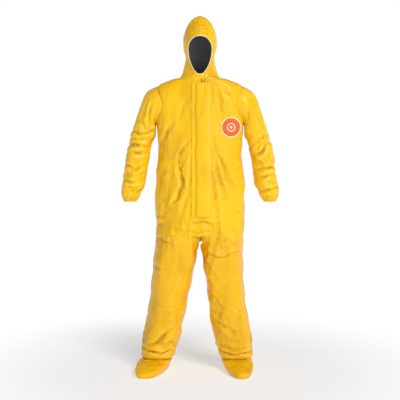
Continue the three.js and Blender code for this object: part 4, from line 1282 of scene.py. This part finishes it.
# %% Socks
sock_rise = np.concatenate([np.linspace(0.3, 12, 7), np.linspace(15, 108, 44)])
for number, side in enumerate(stances):
    turn = circle(100)
    grid = sock_point(side, turn[None, :], sock_rise[:, None])
    sock = turned_out(mesh_object(side + "_sock_form", grid, ring_quads(len(sock_rise), 100)))
    if (normals_of(sock) * (points_of(sock) - points_of(sock).mean(0))).sum() < 0:
        sock.data.flip_normals()
    start = points_of(sock)
    x, y, z = start.T
    waves = 0.55 * np.sin(z / 0.0052 + 3 * np.sin(x * 40 + number)) * smoothstep(0.035, 0.075, z)
    instep = 0.5 * np.sin((y + 0.6 * z) / 0.0078 + 2 * np.sin(x * 60))
    waves += instep * smoothstep(0.012, 0.03, z) * smoothstep(-0.17, -0.1, y)
    put(sock, start + normals_of(sock) * (waves * 0.0034)[:, None])
    creased(sock, lambda p: 0.0075 * smoothstep(0.006, 0.03, p[:, 2]), seed=41 + number, rounds=10)
    form = face_arrays(sock)
    extras[side + "_sock_upper"] = panel(side + "_sock_cloth", form, np.ones(len(form["start"]), bool))
    bpy.data.objects.remove(sock)
print("socks made")

# %% [markdown]
# Materials are node trees over the object's own coordinates. Two shared groups give the film's look: one
# turns a position into the height of its crinkles, and one mixes the colour from the fold value and the
# height over the floor, painting shade into the folds and onto broad stretched patches and highlights onto
# the crests. They output only heights, colours and masks.

# %% Shared node groups
def group_tree(name, inputs, outputs):
    """A node group with these sockets: (name, kind, default)."""
    tree = bpy.data.node_groups.new(name, "ShaderNodeTree")
    for way, sockets in (("INPUT", inputs), ("OUTPUT", outputs)):
        for label, kind, value in sockets:
            socket = tree.interface.new_socket(label, in_out=way, socket_type="NodeSocket" + kind)
            if value is not None:
                socket.default_value = value
    return tree, tree.nodes.new("NodeGroupInput"), tree.nodes.new("NodeGroupOutput")


def node(tree, kind, settings=(), **values):
    """A node with these settings and values; a value may be another node's output."""
    made = tree.nodes.new("ShaderNode" + kind)
    for key, value in dict(settings).items():
        setattr(made, key, value)
    for key, value in values.items():
        numbered = key[0] == "i" and key[1:].isdigit()
        socket = made.inputs[int(key[1:]) if numbered else key.replace("_", " ")]
        if isinstance(value, bpy.types.NodeSocket):
            tree.links.new(value, socket)
        else:
            socket.default_value = value
    return made


def math_node(tree, operation, first, second=0.0):
    """The result of one operation on two values."""
    return node(tree, "Math", {"operation": operation}, i0=first, i1=second).outputs[0]


def mixed(tree, share, first, second, blend="MIX"):
    """Two colours mixed by a share."""
    made = node(tree, "Mix", {"data_type": "RGBA", "blend_type": blend}, i0=share, i6=first, i7=second)
    return made.outputs[2]


def ranged(tree, value, low, high, to_low=0.0, to_high=1.0):
    """The value mapped smoothly from one range to another, and held at its ends."""
    smooth = {"interpolation_type": "SMOOTHSTEP"}
    return node(tree, "MapRange", smooth, i0=value, i1=low, i2=high, i3=to_low, i4=to_high).outputs[0]


tree, given, result = group_tree("film crinkle", [("Place", "Vector", None), ("Strength", "Float", 1.0)],
                                 [("Height", "Float", None)])
warp = node(tree, "TexNoise", Vector=given.outputs["Place"], Scale=9.0, Detail=2.0)
moved = node(tree, "VectorMath", {"operation": "MULTIPLY_ADD"}, i0=warp.outputs["Color"],
             i1=(0.09, 0.09, 0.09), i2=given.outputs["Place"]).outputs[0]
large = node(tree, "TexVoronoi", {"feature": "DISTANCE_TO_EDGE"}, Vector=moved, Scale=17.0)
small = node(tree, "TexVoronoi", {"feature": "F1"}, Vector=moved, Scale=52.0)
grain = node(tree, "TexNoise", Vector=moved, Scale=130.0, Detail=3.0)
patches = node(tree, "TexNoise", Vector=given.outputs["Place"], Scale=5.0, Detail=1.0)
where = ranged(tree, patches.outputs["Fac"], 0.38, 0.62, 0.25, 1.0)
ridge = math_node(tree, "MULTIPLY", ranged(tree, large.outputs["Distance"], 0.0, 0.16, 1.0, 0.0), where)
facets = math_node(tree, "MULTIPLY", small.outputs["Distance"], 0.42)
stretched_place = node(tree, "VectorMath", {"operation": "MULTIPLY"}, i0=moved, i1=(1, 1, 0.5)).outputs[0]
planes = node(tree, "TexVoronoi", {"feature": "F1"}, Vector=stretched_place, Scale=11.0).outputs["Distance"]
total = math_node(tree, "ADD", ridge, facets)
total = math_node(tree, "ADD", total, math_node(tree, "MULTIPLY", planes, 6.0))
total = math_node(tree, "ADD", total, math_node(tree, "MULTIPLY", grain.outputs["Fac"], 0.22))
tree.links.new(math_node(tree, "MULTIPLY", total, given.outputs["Strength"]), result.inputs["Height"])

tree, given, result = group_tree("film colour with painted shade and highlights", [("Place", "Vector", None), ("Fold", "Float", 0.0)],
                                 [("Colour", "Color", None), ("Depth", "Float", None)])
height = node(tree, "SeparateXYZ", Vector=given.outputs["Place"]).outputs["Z"]
low = ranged(tree, height, 0.80, 0.62, 0.0, 1.0)
clouds = node(tree, "TexNoise", Vector=given.outputs["Place"], Scale=7.0, Detail=2.0).outputs["Fac"]
clouded = ranged(tree, clouds, 0.35, 0.65, 0.0, 0.7)
yellow = mixed(tree, clouded, (0.93, 0.53, 0.002, 1), (0.95, 0.58, 0.003, 1))
orange = mixed(tree, clouded, (0.88, 0.46, 0.004, 1), (0.93, 0.51, 0.006, 1))
base = mixed(tree, math_node(tree, "MULTIPLY", low, 0.8), yellow, orange)
# Painted shade: stretched noise patches darken the colour towards amber, standing in for broad folds turned
# away from the light.
tall = node(tree, "VectorMath", {"operation": "MULTIPLY"}, i0=given.outputs["Place"],
            i1=(1.0, 1.0, 0.4)).outputs[0]
shade = node(tree, "TexNoise", Vector=tall, Scale=8.5, Detail=1.0, Distortion=0.6).outputs["Fac"]
base = mixed(tree, ranged(tree, shade, 0.55, 0.61, 0.0, 0.42), base, (0.74, 0.37, 0.003, 1))
# Painted shade: the colour darkens to amber where the fold value shows a hollow, and to dark brown in the
# deepest creases.
valley = ranged(tree, given.outputs["Fold"], 0.12, 0.9, 0.0, 0.6)
painted_crest_highlight = ranged(tree, given.outputs["Fold"], -0.12, -0.85, 0.0, 0.4)
folded = mixed(tree, valley, base, (0.66, 0.32, 0.004, 1))
folded = mixed(tree, ranged(tree, given.outputs["Fold"], 0.7, 1.0, 0.0, 0.5), folded, (0.34, 0.12, 0.004, 1))
# Painted highlight: the colour lightens to pale yellow on the crests, where the fold value is below zero.
tree.links.new(mixed(tree, painted_crest_highlight, folded, (1.0, 0.74, 0.10, 1)), result.inputs["Colour"])
tree.links.new(valley, result.inputs["Depth"])

print("groups:", [g.name for g in bpy.data.node_groups])

# %% [markdown]
# The film is a glossy coat over cloth: its roughness wanders a little, its crinkles are a bump, and its
# colour carries painted shade in the folds and painted highlights on the crests. The other materials are the
# patch's orange cloth, its cream border, the dark lining that paints the shade inside the hood, the elastic,
# the zip's plastic and woven tape, the soles and the glue strip.

# %% Materials
def new_material(name):
    """A material with its node tree, its main shader and the object's coordinates."""
    made = bpy.data.materials.new(name)
    made.use_nodes = True
    tree = made.node_tree
    return made, tree, tree.nodes["Principled BSDF"], node(tree, "TexCoord").outputs["Object"]


def shared(tree, name, **values):
    """One of the shared groups, placed in a material."""
    made = tree.nodes.new("ShaderNodeGroup")
    made.node_tree = bpy.data.node_groups[name]
    for key, value in values.items():
        if isinstance(value, bpy.types.NodeSocket):
            tree.links.new(value, made.inputs[key])
        else:
            made.inputs[key].default_value = value
    return made


def film(name, crinkle=1.0, tint=None, tint_share=0.0):
    """The yellow coated film."""
    made, tree, shader, place = new_material(name)
    fold = node(tree, "Attribute", {"attribute_name": "fold"}).outputs["Fac"]
    colour = shared(tree, "film colour with painted shade and highlights", Place=place, Fold=fold)
    height = shared(tree, "film crinkle", Place=place, Strength=crinkle).outputs["Height"]
    base = colour.outputs["Colour"]
    if tint:
        base = mixed(tree, tint_share, base, tint)
    tree.links.new(base, shader.inputs["Base Color"])
    wander = node(tree, "TexNoise", Vector=place, Scale=14.0, Detail=2.0).outputs["Fac"]
    tree.links.new(ranged(tree, wander, 0.3, 0.7, 0.30, 0.44), shader.inputs["Roughness"])
    bump = node(tree, "Bump", Strength=0.55, Distance=0.0016, Height=height)
    tree.links.new(bump.outputs["Normal"], shader.inputs["Normal"])
    shader.inputs["Specular IOR Level"].default_value = 0.26
    shader.inputs["Coat Weight"].default_value = 0.10
    shader.inputs["Coat Roughness"].default_value = 0.2
    return made


def woven(name, colours, pitch, roughness, depth=0.0002, sheen=0.0):
    """A plain cloth: two crossed sets of threads at this pitch (m), in two close colours."""
    made, tree, shader, place = new_material(name)
    split = node(tree, "SeparateXYZ", Vector=place)
    turns = 2 * math.pi / pitch
    sideways = math_node(tree, "ADD", split.outputs["X"], split.outputs["Y"])
    across = math_node(tree, "SINE", math_node(tree, "MULTIPLY", sideways, turns))
    along = math_node(tree, "SINE", math_node(tree, "MULTIPLY", split.outputs["Z"], turns))
    weave = math_node(tree, "MULTIPLY", across, along)
    noise = node(tree, "TexNoise", Vector=place, Scale=60.0, Detail=3.0).outputs["Fac"]
    share = math_node(tree, "MULTIPLY", ranged(tree, weave, -1.0, 1.0), 0.5)
    base = mixed(tree, share, colours[0], colours[1])
    worn = (*[0.72 * c for c in colours[0][:3]], 1)
    base = mixed(tree, ranged(tree, noise, 0.3, 0.7, 0.0, 0.25), base, worn)
    tree.links.new(base, shader.inputs["Base Color"])
    bump = node(tree, "Bump", Strength=0.6, Distance=depth, Height=weave)
    tree.links.new(bump.outputs["Normal"], shader.inputs["Normal"])
    shader.inputs["Roughness"].default_value = roughness
    shader.inputs["Sheen Weight"].default_value = sheen
    return made


film_main = film("coated_film")
film_flap = film("coated_film_flap", crinkle=0.55, tint=(1.0, 0.66, 0.02, 1), tint_share=0.2)
film_tape = film("coated_film_tape", crinkle=0.35, tint=(0.93, 0.55, 0.01, 1), tint_share=0.35)
film_hood = film("coated_film_hood", crinkle=0.5)
patch_cloth = woven("patch_cloth", [(0.80, 0.13, 0.022, 1), (0.88, 0.18, 0.035, 1)],
                    pitch=0.0016, roughness=0.62, sheen=0.15)
# The patch carries a plain ring with a dot in it, in the colour of its rim.
tree = patch_cloth.node_tree
shader = tree.nodes["Principled BSDF"]
place = node(tree, "TexCoord").outputs["Object"]
offset = node(tree, "VectorMath", {"operation": "SUBTRACT"}, i0=place, i1=tuple(patch_middle)).outputs[0]
flat = node(tree, "VectorMath", {"operation": "MULTIPLY"}, i0=offset, i1=(1, 0, 1)).outputs[0]
away = node(tree, "VectorMath", {"operation": "LENGTH"}, i0=flat).outputs["Value"]
off_ring = math_node(tree, "ABSOLUTE", math_node(tree, "SUBTRACT", away, 0.019))
motif = math_node(tree, "MAXIMUM", ranged(tree, off_ring, 0.0022, 0.0027, 1.0, 0.0),
                  ranged(tree, away, 0.0062, 0.0068, 1.0, 0.0))
ground = shader.inputs["Base Color"].links[0].from_socket
tree.links.new(mixed(tree, motif, ground, (0.95, 0.72, 0.45, 1)), shader.inputs["Base Color"])
rim_cloth = woven("patch_border_thread", [(0.95, 0.80, 0.36, 1), (1.0, 0.90, 0.52, 1)],
                  pitch=0.0013, roughness=0.6, depth=0.0003)
# Painted shade: the lining's dark grey stands in for the shade inside the empty hood.
shade_lining = woven("dark_painted_shade_lining", [(0.30, 0.302, 0.31, 1), (0.36, 0.362, 0.37, 1)],
               pitch=0.0022, roughness=0.8, depth=0.0001)
elastic = woven("pale_elastic", [(0.93, 0.82, 0.42, 1), (1.0, 0.92, 0.58, 1)],
                pitch=0.0016, roughness=0.75, depth=0.0004)
zip_tape = woven("zip_tape_weave", [(0.82, 0.48, 0.02, 1), (0.90, 0.56, 0.03, 1)],
                 pitch=0.0011, roughness=0.7, depth=0.0003)
made, tree, shader, place = new_material("zip_plastic")
tone = node(tree, "TexNoise", Vector=place, Scale=90.0, Detail=2.0).outputs["Fac"]
tree.links.new(mixed(tree, ranged(tree, tone, 0.3, 0.7), (0.86, 0.50, 0.01, 1), (0.92, 0.56, 0.02, 1)),
               shader.inputs["Base Color"])
tree.links.new(ranged(tree, tone, 0.3, 0.7, 0.28, 0.42), shader.inputs["Roughness"])
zip_plastic = made
made, tree, shader, place = new_material("sole_film")
cells = node(tree, "TexVoronoi", Vector=place, Scale=260.0).outputs["Distance"]
tree.links.new(mixed(tree, ranged(tree, cells, 0.2, 0.6), (0.78, 0.44, 0.012, 1), (0.90, 0.53, 0.015, 1)),
               shader.inputs["Base Color"])
tree.links.new(node(tree, "Bump", Strength=0.7, Distance=0.0006, Height=cells).outputs["Normal"],
               shader.inputs["Normal"])
shader.inputs["Roughness"].default_value = 0.6
sole = made
made, tree, shader, place = new_material("adhesive_strip")
smears = node(tree, "TexNoise", Vector=place, Scale=45.0, Detail=3.0).outputs["Fac"]
tree.links.new(mixed(tree, ranged(tree, smears, 0.35, 0.65), (0.86, 0.82, 0.66, 1), (0.95, 0.92, 0.80, 1)),
               shader.inputs["Base Color"])
tree.links.new(ranged(tree, smears, 0.35, 0.65, 0.15, 0.35), shader.inputs["Roughness"])
adhesive = made
print("materials:", len(bpy.data.materials))

# %% [markdown]
# Each piece gets its material, the CAD nodes that it stands for are hidden, and it is attached to the body
# that it rides on; the hood's and the sleeves' pieces are only baked in place.

# %% Pieces and bodies
bpy.data.objects.remove(body)
bpy.data.objects.remove(hood)
for sleeve in sleeves.values():
    bpy.data.objects.remove(sleeve)

# Worn trousers hang wider than the leg inside them and slump on the foot: at each height (m), how far
# the outer and inner sides move out (mm), for each leg, and how far the cloth sinks.
fullness = {"height": [0.0, 0.04, 0.093, 0.194, 0.300, 0.396, 0.565, 0.640, 0.700],
            "right": ([13, 13, 18, 19, 13, 12, 15, 8, 0], [0, 0, 1, 8, 5, 6, 18, 12, 0]),
            "left": ([3, 5, 19, 18, 9, 3, 3, 3, 0], [0, 0, 2, 8, 7, 7, 20, 12, 0])}
slump = ([0.0, 0.02, 0.05, 0.08, 0.12, 0.20, 0.30], [0, 2, 8, 15, 17, 9, 0])
# How far each leg's middle lies from the suit's, at the floor, the ankle and the crotch (m).
leg_middle = {"left": [0.19, 0.183, 0.118], "right": [0.226, 0.214, 0.118]}


def hung(thing):
    """Widens and lowers whatever lies below the crotch, the same way for every piece."""
    points = points_of(thing)
    x, z = points[:, 0].copy(), points[:, 2].copy()
    for side, stance in stances.items():
        sign = stance["sign"]
        middle = sign * np.interp(z, [0, 0.1, 0.7], leg_middle[side])
        way = np.tanh((x - middle) * sign / 0.035)
        outer = np.interp(z, fullness["height"], fullness[side][0])
        inner = np.interp(z, fullness["height"], fullness[side][1])
        mine = (x * sign > 0)
        wave = 2.2 * np.sin(z / 0.021 + sign) * (z > 0.1) * (z < 0.62) * np.abs(way)
        points[:, 0] += mine * sign * mm * (np.where(way > 0, outer * way, inner * way) + wave * way)
    points[:, 2] -= mm * np.interp(z, *slump)
    put(thing, points)


def clothed(thing, material, replaced, rider):
    """Hangs a body piece that reaches below 0.7 m, gives the sheet its material, hides the CAD nodes that it
    replaces, and attaches it to its body, or only bakes its transform when the rider is not a body's name.
    """
    if rider == "suit_body" and points_of(thing)[:, 2].min() < 0.7:
        hung(thing)
    thing.data.materials.clear()
    thing.data.materials.append(material)
    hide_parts(*replaced)
    if isinstance(rider, str):
        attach(thing, rider)
    else:
        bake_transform(thing)


for name, flat, area in (("front_left_panel", (0.31, 0.79), 0.2), ("front_right_panel", (0.33, 0.79), 0.22),
                         ("back_left_panel", (0.33, 0.79), 0.22), ("back_right_panel", (0.33, 0.79), 0.22)):
    clothed(cloths[name], film_main, [name], "suit_body")
# The hood's rider names the body at the neckline and the hood 0.2 m above it; these pieces are only baked in
# place.
hood_rider = ("suit_body", "hood", (0, depth_shift, neckline), (0, depth_shift, neckline + 0.20))
for side, stance in stances.items():
    for part in ("leg_front", "leg_back"):
        name = f"{side}_{part}"
        clothed(cloths[name], film_main, [name], "suit_body")
    name = side + "_leg_hem"
    clothed(cloths[name], film_main, [name], "suit_body")
    down_sleeve = np.array([stance["sign"] * 0.19, 0, -1.0])
    down_sleeve /= np.linalg.norm(down_sleeve)
    top, foot = elbow[side] - 0.075 * down_sleeve, elbow[side] + 0.075 * down_sleeve
    parts = [f"{side}_{part}" for part in ("upper_sleeve_front", "upper_sleeve_back", "elbow_fabric",
                                           "forearm_front", "forearm_back")]
    clothed(cloths[side + "_sleeve"], film_main, parts,
            (side + "_sleeve", side + "_forearm", tuple(top), tuple(foot)))
    clothed(cloths[side + "_wrist_hem"], film_main, [side + "_wrist_hem"], side + "_forearm")
    clothed(extras[side + "_sock_upper"], film_main, [side + "_sock_upper"], "suit_body")
    for part, length in (("side_tape", 0.56), ("shoulder_tape", 0.08), ("leg_tape", 0.61)):
        name = f"{side}_{part}"
        clothed(extras[name], film_tape, [name], "suit_body")
    name = side + "_armhole_binding"
    clothed(extras[name], film_main, [name], "suit_body")
    clothed(cloths["hood_" + side], film_hood, ["hood_" + side], hood_rider)
clothed(cloths["hood_lining"], shade_lining, ["hood_lining"], hood_rider)
for name, rider, flat in (("back_seam_tape", "suit_body", (0.018, 0.80)),
                          ("neckline_tape", "suit_body", (0.011, 0.58)),
                          ("hood_seam_tape", hood_rider, (0.013, 0.49))):
    clothed(extras[name], film_tape, [name], rider)
clothed(extras["face_hem"], film_hood, ["face_hem"], hood_rider)
clothed(extras["face_elastic"], elastic, ["face_elastic"], hood_rider)
clothed(extras["storm_flap"], film_flap, ["storm_flap"], "storm_flap")
for name, material, slot, flat, under in (
        ("flap_seam_strip", film_flap, "flap_film", (0.015, 0.666), "front_right_panel"),
        ("chest_patch", patch_cloth, "patch", (0.089, 0.089), "front_left_panel"),
        ("chest_patch_rim", rim_cloth, "patch_rim", (0.01, 0.30), "front_left_panel")):
    clothed(extras[name], material, [name], "suit_body")
for side in stances:
    clothed(extras["zip_teeth_" + side], zip_plastic, ["zip_teeth_" + side], "suit_body")
for name, material in {"left_sock_sole": sole, "right_sock_sole": sole, "left_wrist_elastic": elastic,
                       "right_wrist_elastic": elastic, "zip_tape_left": zip_tape, "zip_tape_right": zip_tape,
                       "zip_bottom_stop": zip_plastic, "zip_slider": zip_plastic, "zip_pull": zip_plastic,
                       "inner_flap": film_flap, "flap_adhesive_strip": adhesive}.items():
    bpy.data.objects[name].material_slots[0].material = material
print("declared", len(cloths) + len(extras), "pieces")

# %% [markdown]
# The suit stands on a flat pale floor. The camera looks straight at the front from chest height, and broad
# soft lights come from the left, the right and above.

# %% Floor, camera and lights
across, ahead = np.meshgrid(np.linspace(-60, 60, 41), np.linspace(-60, 60, 41))
floor = mesh_object("floor", np.stack([across, ahead, 0 * across], -1), sheet_quads(41, 41))
made, tree, shader, place = new_material("pale_floor")
away = node(tree, "VectorMath", {"operation": "LENGTH"}, i0=place).outputs["Value"]
lit = ranged(tree, away, 0.45, 1.5, 0.5, 1.0)
tree.links.new(mixed(tree, lit, (0.95, 0.955, 0.965, 1), (0, 0, 0, 1)), shader.inputs["Base Color"])
shader.inputs["Emission Color"].default_value = (1, 1, 1, 1)
tree.links.new(lit, shader.inputs["Emission Strength"])
shader.inputs["Roughness"].default_value = 0.9
shader.inputs["Specular IOR Level"].default_value = 0.0
floor.data.materials.append(made)

scene = bpy.context.scene
camera = bpy.data.objects.new("camera", bpy.data.cameras.new("camera"))
scene.collection.objects.link(camera)
camera.data.lens, camera.data.sensor_width = 86.3, 36
camera.location = (0.0, -4.85, 1.355)
target = Vector((0.0, 0.0, 0.883))
camera.rotation_euler = (target - camera.location).to_track_quat("-Z", "Y").to_euler()
scene.camera = camera
scene.view_settings.view_transform = "Standard"

# The surroundings are white low down and behind, and dimmer above and in front, so the shape still shows.
world = bpy.data.worlds.new("studio")
world.use_nodes = True
tree, sky = world.node_tree, world.node_tree.nodes["Background"]
way = node(tree, "SeparateXYZ", Vector=node(tree, "TexCoord").outputs["Generated"])
high = ranged(tree, math_node(tree, "ABSOLUTE", way.outputs["Z"]), 0.10, 0.40, 1.0, 0.26)
behind = ranged(tree, way.outputs["Y"], -0.3, 0.35, 0.50, 1.0)
sideways = ranged(tree, way.outputs["X"], -0.9, -0.2, 0.7, 1.0)
strength = math_node(tree, "MULTIPLY", math_node(tree, "MULTIPLY", high, behind), sideways)
tree.links.new(strength, sky.inputs["Strength"])
sky.inputs["Color"].default_value = (1.0, 1.0, 1.0, 1)
scene.world = world
sun = bpy.data.objects.new("sun", bpy.data.lights.new("sun", "SUN"))
scene.collection.objects.link(sun)
sun.data.energy, sun.data.angle, sun.data.color = 1.85, math.radians(24), (1, 0.985, 0.955)
sun.rotation_euler = Vector((-0.42, 0.70, -0.80)).to_track_quat("-Z", "Y").to_euler()
# Each light: where it stands, what it looks at, its power (W), its size (m) and its colour.
lights = {"front": ((1.6, -3.2, 1.5), (0, 0, 0.95), 17, 1.4, (1, 0.99, 0.97)),
          "left": ((-2.6, -1.8, 2.2), (0, 0, 1.1), 9, 1.2, (0.97, 0.98, 1))}
for name, (where, towards, power, size, colour) in lights.items():
    lamp = bpy.data.lights.new(name, "AREA")
    lamp.energy, lamp.size, lamp.color = power, size, colour
    thing = bpy.data.objects.new(name, lamp)
    scene.collection.objects.link(thing)
    thing.location = where
    thing.rotation_euler = (Vector(towards) - thing.location).to_track_quat("-Z", "Y").to_euler()
print("camera", tuple(round(v, 2) for v in camera.location), "lights", list(lights))
